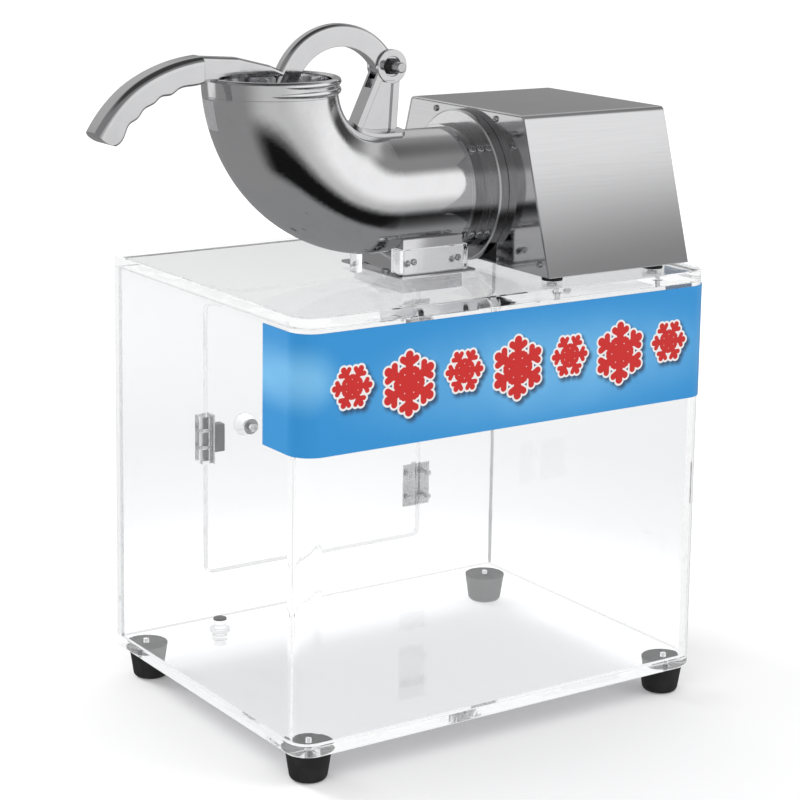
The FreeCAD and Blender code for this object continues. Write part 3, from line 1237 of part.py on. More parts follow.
def pivot_pin():
    """Bolt with a round head behind the rear ear and a plain end in front of the front ear."""
    seat_y = HEAD_Y + EAR_OUT - EAR_RECESS_T
    tip_y = HEAD_Y - EAR_OUT - PIN_OUT
    head = rod(V(PIVOT_X, seat_y, PIVOT_Z), Y_AXIS, PIN_HEAD_R, PIN_HEAD_T)
    rim = edges_where(head, lambda m, e: m.y > seat_y + 1 and e.Curve.TypeId == "Part::GeomCircle")
    head = head.makeFillet(1.2, rim)
    shank = rod(V(PIVOT_X, tip_y, PIVOT_Z), Y_AXIS, PIN_R, seat_y - tip_y + 1)
    nose = edges_where(shank, lambda m, e: m.y < tip_y + 1 and e.Curve.TypeId == "Part::GeomCircle")
    return fuse([head, shank.makeFillet(1.2, nose)])


def pin_nut():
    """Thin nut in the front ear's recess."""
    y = HEAD_Y - EAR_OUT + EAR_RECESS_T
    return hex_nut(V(PIVOT_X, y, PIVOT_Z), -Y_AXIS, PIN_NUT_AF, PIN_NUT_T, PIN_R + THREAD_PLAY)


# ---------------------------------------------------------------- lever
def arm_point(x, z):
    """Point of a lever outline, on its front side."""
    return V(x, HEAD_Y - ARM_W / 2, z)


PUSH_OUT = V(-math.cos(math.radians(PUSHER_ANGLE)), 0, -math.sin(math.radians(PUSHER_ANGLE)))
PUSH_DOWN = V(math.sin(math.radians(PUSHER_ANGLE)), 0, -math.cos(math.radians(PUSHER_ANGLE)))
PUSHER_C = PIVOT + PUSH_OUT * PUSHER_REACH        # middle of the plate's working face
PAD_C = PUSHER_C - PUSH_DOWN * PUSHER_T           # middle of the plate's back
STUD_Z = (NECK_BOTTOM + NECK_TOP) / 2


def bar_section():
    """Section of the bent bar where the arc ends on the left; its outer corners are rounded."""
    x0, x1 = ARC_LEFT, ARC_X - ARC_IN
    y0, y1 = HEAD_Y - ARM_W / 2, HEAD_Y + ARM_W / 2
    r = ARM_ROUND
    nook = r * (1 - math.sqrt(0.5))
    points = [V(x1, y0, ARC_Z), V(x0 + r, y0, ARC_Z), V(x0, y0 + r, ARC_Z), V(x0, y1 - r, ARC_Z),
              V(x0 + r, y1, ARC_Z), V(x1, y1, ARC_Z)]
    edges = [Part.makeLine(points[0], points[1]),
             Part.Arc(points[1], V(x0 + nook, y0 + nook, ARC_Z), points[2]).toShape(),
             Part.makeLine(points[2], points[3]),
             Part.Arc(points[3], V(x0 + nook, y1 - nook, ARC_Z), points[4]).toShape(),
             Part.makeLine(points[4], points[5]),
             Part.makeLine(points[5], points[0])]
    return Part.Face(Part.Wire(edges))


def gooseneck():
    """Bent bar: arc from the mouth over to the pivot, and the straight stem under its left end."""
    arc = bar_section().revolve(V(ARC_X, HEAD_Y, ARC_Z), Y_AXIS, 90 + ARC_END)
    stem = bar_section().extrude(V(0, 0, -2 * STEM_LEN))
    side = 400.0
    below = Part.makeBox(side, side, side / 2)
    below.translate(V(-side / 2, -side / 2, 0))
    return [arc, stem.cut(aim(below, PAD_C, PUSH_DOWN))]


def neck_body():
    """Tapering neck from the gooseneck to the grip's seam."""
    ridge = [arm_point(ARC_LEFT - out, NECK_TOP - down) for out, down in (NECK_BOW, NECK_LOW, NECK_JOIN)]
    join = ridge[-1]
    neck = prism([arm_point(NECK_SEAM_X, NECK_BOTTOM), arm_point(NECK_SEAM_X, NECK_TOP)] + ridge
                 + [arm_point(join.x, NECK_BOTTOM)], V(0, ARM_W, 0))
    crown = edges_where(neck, lambda m, e: abs(m.y - HEAD_Y) > ARM_W / 2 - 0.01
                        and m.z > join.z and abs(m.x - NECK_SEAM_X) > 1)
    return neck.makeFillet(NECK_ROUND, crown)


def grip_stud():
    """Round stud on the neck's end that carries the grip."""
    return rod(V(NECK_SEAM_X - GRIP_STUD_LEN, HEAD_Y, STUD_Z), X_AXIS, GRIP_STUD_R, GRIP_STUD_LEN + 5)


def lever_arm():
    """Gooseneck, neck, boss, pusher pad and the grip's stud in one casting."""
    bar = neck_body().multiFuse(gooseneck())
    ears = [rod(V(PIVOT_X, HEAD_Y + side * BOSS_W / 2, PIVOT_Z), Y_AXIS * side, EAR_R + EAR_SWING_GAP, ARM_W)
            for side in (-1, 1)]
    bar = cut(bar, ears)
    boss = rod(V(PIVOT_X, HEAD_Y - BOSS_W / 2, PIVOT_Z), Y_AXIS, BOSS_R, BOSS_W)
    pad = aim(Part.makeCylinder(PUSHER_PAD_R, PUSHER_PAD_T), PAD_C, -PUSH_DOWN)
    bar = bar.multiFuse([boss, pad, grip_stud()])
    bore = rod(V(PIVOT_X, HEAD_Y - ARM_W, PIVOT_Z), Y_AXIS, PIN_R + RUN_FIT, ARM_W * 2)
    threads = holes(pusher_screw_spots(), -PUSH_DOWN, PUSHER_SCREW_R + THREAD_PLAY,
                    PUSHER_T + PUSHER_PAD_T + 1)
    return cut(bar, [bore] + threads)


def grip_outline(y):
    """Side of the grip: a long bowed top and four finger hollows underneath."""
    seam_x = NECK_SEAM_X - GRIP_SEAM
    top = [V(seam_x - out, y, NECK_TOP - down) for out, down in GRIP_CROWN]
    low = [V(seam_x - out, y, NECK_TOP - down) for out, down in GRIP_FINGERS]
    crown = Part.BSplineCurve()
    crown.interpolate(top)
    fingers = Part.BSplineCurve()
    fingers.interpolate(low)
    tip, heel = top[-1], low[0]
    across = (heel - tip).normalize()
    bulge = (tip + heel) / 2 + V(across.z, 0, -across.x) * GRIP_END_BULGE
    end = Part.Arc(tip, bulge, heel).toShape()
    seam = Part.makeLine(low[-1], top[0])
    return Part.Wire([crown.toShape(), end, fingers.toShape(), seam])


def lever_grip():
    """Solid cast grip pushed on the neck's stud."""
    body = Part.Face(grip_outline(HEAD_Y - GRIP_W / 2)).extrude(V(0, GRIP_W, 0))

    def long_edges(above):
        """Long edges of the two flat sides, above or below the stud at the seam."""
        return edges_where(body, lambda m, e: abs(abs(m.y - HEAD_Y) - GRIP_W / 2) < 0.01
                           and e.BoundBox.XLength > GRIP_L / 2 and (e.BoundBox.ZMax > STUD_Z) == above)

    body = body.makeFillet(GRIP_ROUND_TOP, long_edges(True))
    body = body.makeFillet(GRIP_ROUND, long_edges(False))
    return body.cut(grip_stud())


def pusher_screw_spots():
    return [PUSHER_C + V(0, s * PUSHER_SCREW_OUT, 0) for s in (-1, 1)]


def pusher_plate():
    """Round plate that presses the ice along the elbow."""
    plate = aim(Part.makeCylinder(PUSHER_R, PUSHER_T), PUSHER_C, -PUSH_DOWN)
    return cut(plate, holes(pusher_screw_spots(), -PUSH_DOWN, PUSHER_SCREW_R + HOLE_PLAY, PUSHER_T + 2))


def pusher_screws():
    return [pan_screw(p, -PUSH_DOWN, PUSHER_SCREW_R, PUSHER_T + PUSHER_PAD_T) for p in pusher_screw_spots()]


# ---------------------------------------------------------------- write every node
NODES = {
    "base_plate": base_plate, "case_walls": case_walls, "rear_wall": rear_wall, "lid_plate": lid_plate,
    "case_feet": case_feet, "sign_panel": sign_panel,
    "rear_door": rear_door,
    "hinge_wall_leaves": lambda: [hinge_leaf(z, 1) for z in HINGE_ZS],
    "hinge_door_leaves": lambda: [hinge_leaf(z, -1) for z in HINGE_ZS],
    "hinge_pins": hinge_pins,
    "hinge_wall_fasteners": lambda: hinge_fasteners(1),
    "door_fasteners": lambda: hinge_fasteners(-1) + [knob_screw()],
    "door_knob": door_knob,
    "catch_block": catch_block, "catch_plate": catch_plate, "catch_magnet": catch_magnet,
    "strike_plate": strike_plate,
    "drain_plug": drain_plug, "plug_cap": plug_cap,
    "elbow_front": lambda: elbow_shells()["front"], "elbow_back": lambda: elbow_shells()["back"],
    "mouth_ring": mouth_ring, "end_collar": end_collar,
    "collar_screws": lambda: collar_screws() + chute_screws(),
    "bearing_drum": bearing_drum, "shaft_seal": shaft_seal, "drum_bolts": drum_bolts,
    "blade_disc": blade_disc, "blades": blades, "blade_screws": blade_screws,
    "drive_shaft": drive_shaft, "shaft_nut": shaft_nut,
    "motor_front_cap": motor_front_cap, "motor_shell": motor_shell, "motor_rear_cap": motor_rear_cap,
    "stator_core": stator_core, "rotor_core": rotor_core, "bearings": bearings,
    "cooling_fan": cooling_fan, "motor_cradle": motor_cradle,
    "housing_wrap": housing_wrap, "housing_left_panel": housing_left_panel,
    "housing_right_panel": housing_right_panel,
    "small_screws": lambda: housing_screws() + guard_screws() + catch_screws() + foot_screws(),
    "housing_base": housing_base, "head_feet": head_feet,
    "mount_bolts": lambda: mount_bolts() + cradle_bolts(),
    "switch_frame": switch_frame, "switch_rocker": switch_rocker, "cord_gland": cord_gland,
    "ice_chute": ice_chute, "chute_guard": chute_guard, "support_post": support_post,
    "pivot_bracket": pivot_bracket, "pivot_pin": pivot_pin, "pin_nut": pin_nut,
    "lever_arm": lever_arm, "lever_grip": lever_grip,
    "pusher_plate": pusher_plate, "pusher_screws": pusher_screws,
}

os.makedirs("parts", exist_ok=True)
for node_name, make in NODES.items():
    made_shape = make()
    save(node_name, made_shape if isinstance(made_shape, list) else [made_shape])
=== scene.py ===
import json
import math
import bpy
import numpy as np
from mathutils import Matrix, Vector

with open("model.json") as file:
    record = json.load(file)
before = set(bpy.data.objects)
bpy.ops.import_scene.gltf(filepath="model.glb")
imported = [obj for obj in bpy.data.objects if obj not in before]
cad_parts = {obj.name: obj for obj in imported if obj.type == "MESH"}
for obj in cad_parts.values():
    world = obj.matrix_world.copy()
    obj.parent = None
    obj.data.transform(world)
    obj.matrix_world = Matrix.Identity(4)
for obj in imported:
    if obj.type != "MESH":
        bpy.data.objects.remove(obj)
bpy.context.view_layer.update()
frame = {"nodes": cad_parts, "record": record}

# Lengths are in metres, and turns in radians where nothing else is said. Colours are linear.

# ------------------------------------------------------------------ camera

LOOK_YAW = math.radians(-34.009)      # turn of the view about +Z from looking along +Y
LOOK_DOWN = math.radians(10.350)
LOOK_ROLL = math.radians(0.795)
EYE = Vector((-1.06874, -1.65036, 0.76356))
SENSOR_MM = 36
FOCAL_SHARE = 2287.96 / 800           # focal length over the image's width
SHIFT_UP = -0.1875                    # share of the image's width
VIEW_REACH = 50


def place_camera():
    """Level view turned by yaw, tipped down, then rolled about its own line of sight."""
    forward = Vector((-math.sin(LOOK_YAW) * math.cos(LOOK_DOWN),
                      math.cos(LOOK_YAW) * math.cos(LOOK_DOWN), -math.sin(LOOK_DOWN)))
    level = Vector((math.cos(LOOK_YAW), math.sin(LOOK_YAW), 0))
    upright = level.cross(forward)
    right = level * math.cos(LOOK_ROLL) + upright * math.sin(LOOK_ROLL)
    up = upright * math.cos(LOOK_ROLL) - level * math.sin(LOOK_ROLL)
    data = bpy.data.cameras.new("view")
    data.sensor_width = SENSOR_MM
    data.lens = FOCAL_SHARE * SENSOR_MM
    data.shift_y = SHIFT_UP
    data.clip_end = VIEW_REACH
    camera = bpy.data.objects.new("view", data)
    bpy.context.scene.collection.objects.link(camera)
    turn = np.array([right, up, -forward]).T
    camera.matrix_world = Matrix([[*turn[i], EYE[i]] for i in range(3)] + [[0, 0, 0, 1]])
    bpy.context.scene.camera = camera


# ------------------------------------------------------------------ node building

def feed(tree, socket, value):
    """Links another node's output into a socket, or sets the socket to a number or a colour."""
    if isinstance(value, bpy.types.NodeSocket):
        tree.links.new(value, socket)
    else:
        socket.default_value = value


def join(tree, node, **values):
    """Feeds a node's inputs by name, with _ for a space."""
    for name, value in values.items():
        feed(tree, node.inputs[name.replace("_", " ")], value)


def put(tree, kind, settings=None, first=(), **values):
    """Adds a shader node. first feeds its inputs in their order, and values feed them by name."""
    node = tree.nodes.new("ShaderNode" + kind)
    for name, setting in (settings or {}).items():
        setattr(node, name, setting)
    for socket, value in zip(node.inputs, first):
        feed(tree, socket, value)
    join(tree, node, **values)
    return node


def group(name, inputs, outputs):
    """Empty node group with value or vector sockets. Returns the tree and its two ends."""
    kinds = {"value": "NodeSocketFloat", "vector": "NodeSocketVector"}
    tree = bpy.data.node_groups.new(name, "ShaderNodeTree")
    for label, kind, default in inputs:
        socket = tree.interface.new_socket(label, in_out="INPUT", socket_type=kinds[kind])
        socket.default_value = default
    for label, kind in outputs:
        tree.interface.new_socket(label, in_out="OUTPUT", socket_type=kinds[kind])
    return tree, tree.nodes.new("NodeGroupInput").outputs, tree.nodes.new("NodeGroupOutput").inputs


def use(tree, shared, **values):
    """Places a shared group with its own values. Returns its outputs."""
    node = tree.nodes.new("ShaderNodeGroup")
    node.node_tree = shared
    join(tree, node, **values)
    return node.outputs


def math_of(tree, operation, first, second=0.0, clamp=False):
    return put(tree, "Math", {"operation": operation, "use_clamp": clamp}, (first, second)).outputs[0]


def times(tree, first, *others, clamp=False):
    """Product of two or more values."""
    for other in others:
        first = math_of(tree, "MULTIPLY", first, other, clamp)
    return first


def plus(tree, first, second):
    return math_of(tree, "ADD", first, second)


def minus(tree, first, second, clamp=False):
    return math_of(tree, "SUBTRACT", first, second, clamp)


def larger(tree, first, second, clamp=False):
    return math_of(tree, "MAXIMUM", first, second, clamp)


def absolute(tree, value):
    return math_of(tree, "ABSOLUTE", value)


def length_of(tree, first, second):
    """Length of the flat vector (first, second)."""
    return math_of(tree, "SQRT", plus(tree, times(tree, first, first), times(tree, second, second)))


def vector_of(tree, operation, *vectors):
    """Outputs of a vector operation."""
    return put(tree, "VectorMath", {"operation": operation}, vectors).outputs


def axes(tree, vector):
    """A vector's X, Y and Z."""
    return put(tree, "SeparateXYZ", Vector=vector).outputs


def spread(tree, value, low, high, to_low=0.0, to_high=1.0):
    """value taken from low..high to to_low..to_high with soft ends."""
    return put(tree, "MapRange", {"interpolation_type": "SMOOTHSTEP"}, Value=value,
               From_Min=low, From_Max=high, To_Min=to_low, To_Max=to_high).outputs[0]


def blend_colour(tree, amount, first, second):
    """Colour between first and second by amount."""
    node = put(tree, "Mix", {"data_type": "RGBA"})
    for place, value in ((0, amount), (6, first), (7, second)):
        feed(tree, node.inputs[place], (*value, 1) if isinstance(value, tuple) else value)
    return node.outputs[2]


def shaded(colour, factor, lift=0.0):
    """colour times factor, plus lift, up to white."""
    return tuple(min(1.0, part * factor + lift) for part in colour)


def grey(level):
    return (level,) * 3


def position(tree, middle=None):
    """Object coordinates, measured from middle where it is given."""
    place = put(tree, "TexCoord").outputs["Object"]
    return place if middle is None else vector_of(tree, "SUBTRACT", place, middle)[0]


def normal_axes(tree):
    """X, Y and Z of the surface's normal."""
    return axes(tree, put(tree, "NewGeometry").outputs["Normal"])


def noise(tree, place, scale, **settings):
    return put(tree, "TexNoise", Vector=place, Scale=scale, **settings).outputs["Fac"]


def cells(tree, scale):
    """Distance to the nearest of many scattered points, about scale of them per metre."""
    return put(tree, "TexVoronoi", Vector=position(tree), Scale=scale).outputs["Distance"]


def bump(tree, height, distance, normal=None):
    """Raises the surface by height times distance."""
    node = put(tree, "Bump", Strength=1.0, Distance=distance, Height=height)
    if normal is not None:
        join(tree, node, Normal=normal)
    return node.outputs["Normal"]


def rough_by(tree, mask, limits, marks=None, more=0.0):
    """Roughness between two limits by mask, and more where there are marks."""
    rough = spread(tree, mask, 0.0, 1.0, *limits)
    return rough if marks is None else plus(tree, rough, times(tree, marks, more))


# ------------------------------------------------------------------ shared effects
# Where noise is spread, the two numbers are the levels at which a mark begins and is full.

def grain_effect():
    """Fine drawn lines: noise stretched by Stretch, as a height and as a shade mask."""
    tree, given, out = group("fine_grain", [("Stretch", "vector", (40, 900, 900)), ("Detail", "value", 3.0)],
                             [("Height", "value"), ("Shade", "value")])
    scaled = vector_of(tree, "MULTIPLY", position(tree), given["Stretch"])[0]
    lines = noise(tree, scaled, 1.0, Detail=given["Detail"], Roughness=0.6)
    tree.links.new(lines, out["Height"])
    tree.links.new(spread(tree, lines, 0.3, 0.7), out["Shade"])
    return tree


def smudge_effect():
    """Faint handling marks: broad noise times fine noise, as one mask. Less Cover leaves fewer."""
    tree, given, out = group("smudges", [("Size", "value", 14.0), ("Cover", "value", 0.5)],
                             [("Mask", "value")])
    place = position(tree)
    broad = noise(tree, place, given["Size"], Detail=2.0, Distortion=0.8)
    fine = noise(tree, place, times(tree, given["Size"], 5.3), Detail=4.0, Roughness=0.7)
    mask = times(tree, spread(tree, broad, 0.35, 0.72), spread(tree, fine, 0.30, 0.75))
    kept = math_of(tree, "POWER", mask, plus(tree, minus(tree, 1.0, given["Cover"]), 0.5))
    shown = math_of(tree, "GREATER_THAN", given["Cover"], 0.0)
    tree.links.new(times(tree, kept, shown, clamp=True), out["Mask"])
    return tree


def dust_effect():
    """Dust that settles where a face looks up: the normal's Z against speckled noise."""
    tree, given, out = group("settled_dust", [("Amount", "value", 0.3)], [("Mask", "value")])
    place = position(tree)
    specks = noise(tree, place, 420.0, Detail=3.0, Roughness=0.75)
    film = noise(tree, place, 30.0, Detail=3.0)
    lying = times(tree, spread(tree, normal_axes(tree)["Z"], 0.2, 0.95), given["Amount"])
    both = times(tree, spread(tree, specks, 0.45, 0.75), spread(tree, film, 0.25, 0.8))
    tree.links.new(times(tree, lying, both, clamp=True), out["Mask"])
    return tree


def edge_effect():
    """Worn edges: how far a rounded normal turns from the flat one, broken up by noise."""
    tree, given, out = group("edge_wear", [("Radius", "value", 0.0008), ("Breakup", "value", 0.4)],
                             [("Mask", "value"), ("Normal", "vector")])
    rounded = put(tree, "Bevel", {"samples": 4}, Radius=given["Radius"]).outputs["Normal"]
    flat = put(tree, "NewGeometry").outputs["Normal"]
    turn = vector_of(tree, "DOT_PRODUCT", rounded, flat)["Value"]
    chips = noise(tree, position(tree), 260.0, Detail=3.0)
    kept = minus(tree, 1.0, times(tree, given["Breakup"], chips))
    bent = spread(tree, turn, 0.995, 0.86)
    tree.links.new(times(tree, bent, kept, clamp=True), out["Mask"])
    tree.links.new(rounded, out["Normal"])
    return tree


grain = grain_effect()
smudges = smudge_effect()
dust = dust_effect()
edges = edge_effect()


# ------------------------------------------------------------------ metal

BUFFED_RELIEF = 0.000004
ROLLED_RELIEF = 0.0000015
TURNED_RELIEF = 0.000012
SHEET_RELIEF = 0.00004
SHEET_PITCH = 0.0005                  # of the motor's stacked sheets
DUST_AMOUNT = 0.35
METAL_DUST = (0.45, 0.44, 0.42)
MOUTH_MIDDLE = (-0.10085, -0.02245, 0.0)
MOUTH_WALL = (0.0506, 0.0502)         # distances from the mouth's axis: bright from, dull with painted shade up to
MOUTH_HEIGHT = (0.528, 0.536)         # heights: bright up to, dull with painted shade from
PLATE_RADIUS = 0.053                  # of the elbow under the bare plate, about the mouth's axis
PLATE_ROUND = (0.011, 0.0155)         # the plate's middle and half its length, round the elbow
PLATE_HIGH = (0.5330, 0.0135)         # and upwards
PLATE_BLUR = 0.0001
PLATE_LINE = (-0.0009, -0.0005)       # from the plate's edge: the line begins and is full
ROUND_SIDE = (0.55, 0.25)             # X of the normal: flat face from, round side with painted shade up to


def finish_named(name):
    """New material with a Principled shader. Returns the material, its tree and the shader."""
    material = bpy.data.materials.new(name)
    material.use_nodes = True
    tree = material.node_tree
    tree.nodes.clear()
    surface = put(tree, "BsdfPrincipled")
    put(tree, "OutputMaterial", Surface=surface.outputs[0])
    return material, tree, surface


def node_of(tree, kind):
    return next(node for node in tree.nodes if node.type == kind)


def laid_over(material):
    """Tree and shader of a finish that gets more on it, and what feeds its colour and roughness."""
    tree = material.node_tree
    surface = node_of(tree, "BSDF_PRINCIPLED")
    colour, rough = (surface.inputs[name].links[0].from_socket for name in ("Base Color", "Roughness"))
    return tree, surface, colour, rough


def polished_casting(name, colour, rough, wave):
    """Mirror-polished metal: faint buffing lines, slight casting waves and hand marks."""
    material, tree, surface = finish_named(name)
    lines = use(tree, grain, Stretch=(160, 160, 900), Detail=2.0)
    marks = use(tree, smudges, Size=11.0, Cover=0.55)["Mask"]
    worn = use(tree, edges, Radius=0.0007, Breakup=0.3)["Normal"]
    swell = noise(tree, position(tree), 26.0, Detail=1.0)
    join(tree, surface, Metallic=1.0,
         Base_Color=blend_colour(tree, marks, colour, shaded(colour, 0.94)),
         Roughness=rough_by(tree, lines["Shade"], rough, marks, 0.05),
         Normal=bump(tree, lines["Height"], BUFFED_RELIEF, bump(tree, swell, wave, worn)))
    return material


def dulled_and_shaded_inside(tree):
    """Mask of the mouth's inner wall, near its axis and high up: rougher there, as dulled by the ice, and
    darkened with painted shade.
    """
    x, y, z = axes(tree, position(tree, MOUTH_MIDDLE))
    return times(tree, spread(tree, length_of(tree, x, y), *MOUTH_WALL), spread(tree, z, *MOUTH_HEIGHT))


def bare_patch(tree):
    """Small blank plate stuck on the elbow under the mouth: its face, and the line round it."""
    x, y, z = axes(tree, position(tree, MOUTH_MIDDLE))
    around = times(tree, math_of(tree, "ARCTAN2", y, times(tree, x, -1.0)), PLATE_RADIUS)
    past = (minus(tree, absolute(tree, minus(tree, value, middle)), half)
            for value, (middle, half) in ((around, PLATE_ROUND), (z, PLATE_HIGH)))
    outside = larger(tree, *past)
    face = spread(tree, outside, PLATE_BLUR, -PLATE_BLUR)
    return face, times(tree, face, spread(tree, outside, *PLATE_LINE))


def dull_and_shaded_mouth(name, colour, rough, wave):
    """Polished casting, dull on the mouth's inner wall and darkened there with painted shade."""
    material = polished_casting(name, colour, rough, wave)
    tree, surface, metal, smooth = laid_over(material)
    inside = dulled_and_shaded_inside(tree)
    scuff = use(tree, smudges, Size=45.0, Cover=0.5)["Mask"]
    # painted shade: two dark tones on the mouth's inner wall, mixed by noise
    dull = blend_colour(tree, scuff, (0.15, 0.15, 0.155), (0.22, 0.22, 0.22))
    join(tree, surface, Base_Color=blend_colour(tree, inside, metal, dull),
         Roughness=plus(tree, smooth, times(tree, inside, 0.22)))
    return material


def labelled_casting(name, colour, rough, wave):
    """Polished casting with a dull mouth darkened by painted shade, and a bare name plate."""
    material = dull_and_shaded_mouth(name, colour, rough, wave)
    tree, surface, metal, smooth = laid_over(material)
    face, line = bare_patch(tree)
    scuff = use(tree, smudges, Size=55.0, Cover=0.5)["Mask"]
    plate = blend_colour(tree, scuff, (0.50, 0.50, 0.51), (0.40, 0.40, 0.41))
    plate = blend_colour(tree, line, plate, (0.22, 0.22, 0.23))
    join(tree, surface, Base_Color=blend_colour(tree, face, metal, plate),
         Metallic=minus(tree, 1.0, times(tree, face, 0.55)),
         Roughness=plus(tree, smooth, times(tree, face, 0.28)))
    return material


def painted_shade_rim(name, colour, rough, wave):
    """Turned cover: bright faces, and painted shade on its round sides, streaked by grain."""
    material = polished_casting(name, colour, rough, wave)
    tree, surface, metal, _ = laid_over(material)
    side = spread(tree, absolute(tree, normal_axes(tree)["X"]), *ROUND_SIDE)
    streak = use(tree, grain, Stretch=(900, 60, 60), Detail=2.0)["Shade"]
    # painted shade: the round sides get a darker colour because of the way they face
    painted_side_shade = blend_colour(tree, streak, (0.37, 0.37, 0.375), (0.46, 0.46, 0.465))
    join(tree, surface, Base_Color=blend_colour(tree, side, metal, painted_side_shade))
    return material


def satin_sheet(name, colour, stretch, rough, bow=None):
    """Rolled stainless sheet: grain one way, hand marks, and a hollow where bow gives its height."""
    material, tree, surface = finish_named(name)
    lines = use(tree, grain, Stretch=stretch, Detail=4.0)
    marks = use(tree, smudges, Size=8.0, Cover=0.5)["Mask"]
    normal = use(tree, edges, Radius=0.0009, Breakup=0.2)["Normal"]
    if bow is not None:
        normal = bump(tree, bow(tree), 1.0, normal)
    join(tree, surface, Metallic=1.0,
         Base_Color=blend_colour(tree, lines["Shade"], colour, shaded(colour, 0.97)),
         Roughness=rough_by(tree, lines["Shade"], rough, marks, 0.04),
         Normal=bump(tree, lines["Height"], ROLLED_RELIEF, normal))
    return material


def plated_steel(name, colour, rough):
    """Zinc-plated fittings: cloudy bright plating with fine turning lines and worn edges."""
    material, tree, surface = finish_named(name)
    lines = use(tree, grain, Stretch=(700, 700, 700), Detail=3.0)
    marks = use(tree, smudges, Size=60.0, Cover=0.6)["Mask"]
    worn = use(tree, edges, Radius=0.0003, Breakup=0.5)
    tint = blend_colour(tree, marks, colour, shaded(colour, 0.72))
    join(tree, surface, Metallic=1.0,
         Base_Color=blend_colour(tree, worn["Mask"], tint, shaded(colour, 1.25)),
         Roughness=rough_by(tree, lines["Shade"], rough),
         Normal=bump(tree, lines["Height"], TURNED_RELIEF, worn["Normal"]))
    return material


def plain_casting(name, colour, rough, relief):
    """Unpolished cast or machined metal: grainy relief, dull patches and dust."""
    material, tree, surface = finish_named(name)
    pits = use(tree, grain, Stretch=(900, 900, 900), Detail=5.0)
    marks = use(tree, smudges, Size=22.0, Cover=0.6)["Mask"]
    settled = use(tree, dust, Amount=DUST_AMOUNT)["Mask"]
    tint = blend_colour(tree, marks, colour, shaded(colour, 0.8))
    join(tree, surface, Metallic=1.0,
         Base_Color=blend_colour(tree, settled, tint, METAL_DUST),
         Roughness=rough_by(tree, pits["Shade"], rough),
         Normal=bump(tree, pits["Height"], relief))
    return material


def stacked_sheet(name):
    """Pressed electrical sheets: dark iron with a line for each sheet along the shaft."""
    material, tree, surface = finish_named(name)
    along = axes(tree, position(tree))["X"]
    wave = math_of(tree, "SINE", times(tree, along, 2 * math.pi / SHEET_PITCH))
    speck = use(tree, grain, Stretch=(600, 600, 600), Detail=4.0)["Shade"]
    join(tree, surface, Metallic=0.9, Roughness=rough_by(tree, speck, (0.35, 0.6)),
         Base_Color=blend_colour(tree, spread(tree, wave, -1.0, 1.0), (0.16, 0.16, 0.17), (0.30, 0.29, 0.29)),
         Normal=bump(tree, wave, SHEET_RELIEF))
    return material


# ------------------------------------------------------------------ rubber and plastic

PLASTIC_DUST = (0.42, 0.41, 0.40)
CASE_MIDDLE = (0.05025, -0.00845, 0.0)
SEAM_SIDE = (0.196, 0.2095)           # from the case's middle to a side: glue begins and is full
SEAM_FACE = (0.147, 0.1595)           # and to its front or back
SEAM_LOW = (0.040, 0.028)             # heights: and down to the base
SEAM_HIGH = (0.374, 0.388)            # and up to the lid
RIPPLES = (90.0, 90.0, 22.0)          # of the glue, per metre
CLEAR_SEEN = (0.993, 0.995, 0.997)    # what a clear piece lets through of a reflection
CLEAR_LIT = (0.72, 0.72, 0.73)        # and of a lamp's light


def moulded(name, colour, rough, relief, pitch):
    """Moulded rubber or plastic: fine spark-eroded relief, pale dust above, rubbed edges."""
    material, tree, surface = finish_named(name)
    leather = cells(tree, pitch)
    marks = use(tree, smudges, Size=40.0, Cover=0.6)["Mask"]
    settled = use(tree, dust, Amount=DUST_AMOUNT)["Mask"]
    worn = use(tree, edges, Radius=0.0006, Breakup=0.6)
    tint = blend_colour(tree, marks, colour, shaded(colour, 1.5, 0.01))
    tint = blend_colour(tree, times(tree, worn["Mask"], 0.35), tint, shaded(colour, 1.8, 0.03))
    join(tree, surface, Base_Color=blend_colour(tree, settled, tint, PLASTIC_DUST),
         Roughness=rough_by(tree, marks, rough), Normal=bump(tree, leather, relief, worn["Normal"]))
    return material


def pass_light(tree, surface):
    """Lets reflections and lamps' light straight through a clear piece, lamps' light with some loss."""
    seen = put(tree, "LightPath").outputs
    bounced = larger(tree, seen["Is Diffuse Ray"], seen["Is Glossy Ray"])
    bounced = minus(tree, bounced, seen["Is Transmission Ray"], clamp=True)
    through = larger(tree, seen["Is Shadow Ray"], bounced)
    lit = larger(tree, seen["Is Shadow Ray"], seen["Is Diffuse Ray"])
    clear = put(tree, "BsdfTransparent", Color=blend_colour(tree, lit, CLEAR_SEEN, CLEAR_LIT))
    mixed = put(tree, "MixShader", first=(through, surface.outputs[0], clear.outputs[0]))
    join(tree, node_of(tree, "OUTPUT_MATERIAL"), Surface=mixed.outputs[0])


def clear_sheet(name, tone, bend, ripple_height):
    """Cast acrylic: clear, with faint hair scratches, and ripples where the sheets are glued."""
    material, tree, surface = finish_named(name)
    place = position(tree, CASE_MIDDLE)
    x, y, z = axes(tree, place)
    near_side = spread(tree, absolute(tree, x), *SEAM_SIDE)
    near_face = spread(tree, absolute(tree, y), *SEAM_FACE)
    upright = times(tree, near_side, near_face)
    low_or_high = larger(tree, spread(tree, z, *SEAM_LOW), spread(tree, z, *SEAM_HIGH))
    level = times(tree, low_or_high, larger(tree, near_side, near_face))
    seam = larger(tree, upright, level, clamp=True)
    ripple = noise(tree, vector_of(tree, "MULTIPLY", place, RIPPLES)[0], 1.0, Detail=3.0, Distortion=1.5)
    scratches = use(tree, grain, Stretch=(1400, 35, 35), Detail=2.0)["Height"]
    marks = use(tree, smudges, Size=7.0, Cover=0.4)["Mask"]
    glued = bump(tree, times(tree, ripple, seam), ripple_height)
    join(tree, surface, Base_Color=(*tone, 1), Transmission_Weight=1.0, IOR=bend,
         Coat_Weight=0.1, Coat_Roughness=0.02,
         Roughness=plus(tree, times(tree, marks, 0.035), times(tree, seam, 0.03)),
         Normal=bump(tree, scratches, ROLLED_RELIEF, glued))
    pass_light(tree, surface)
    return material


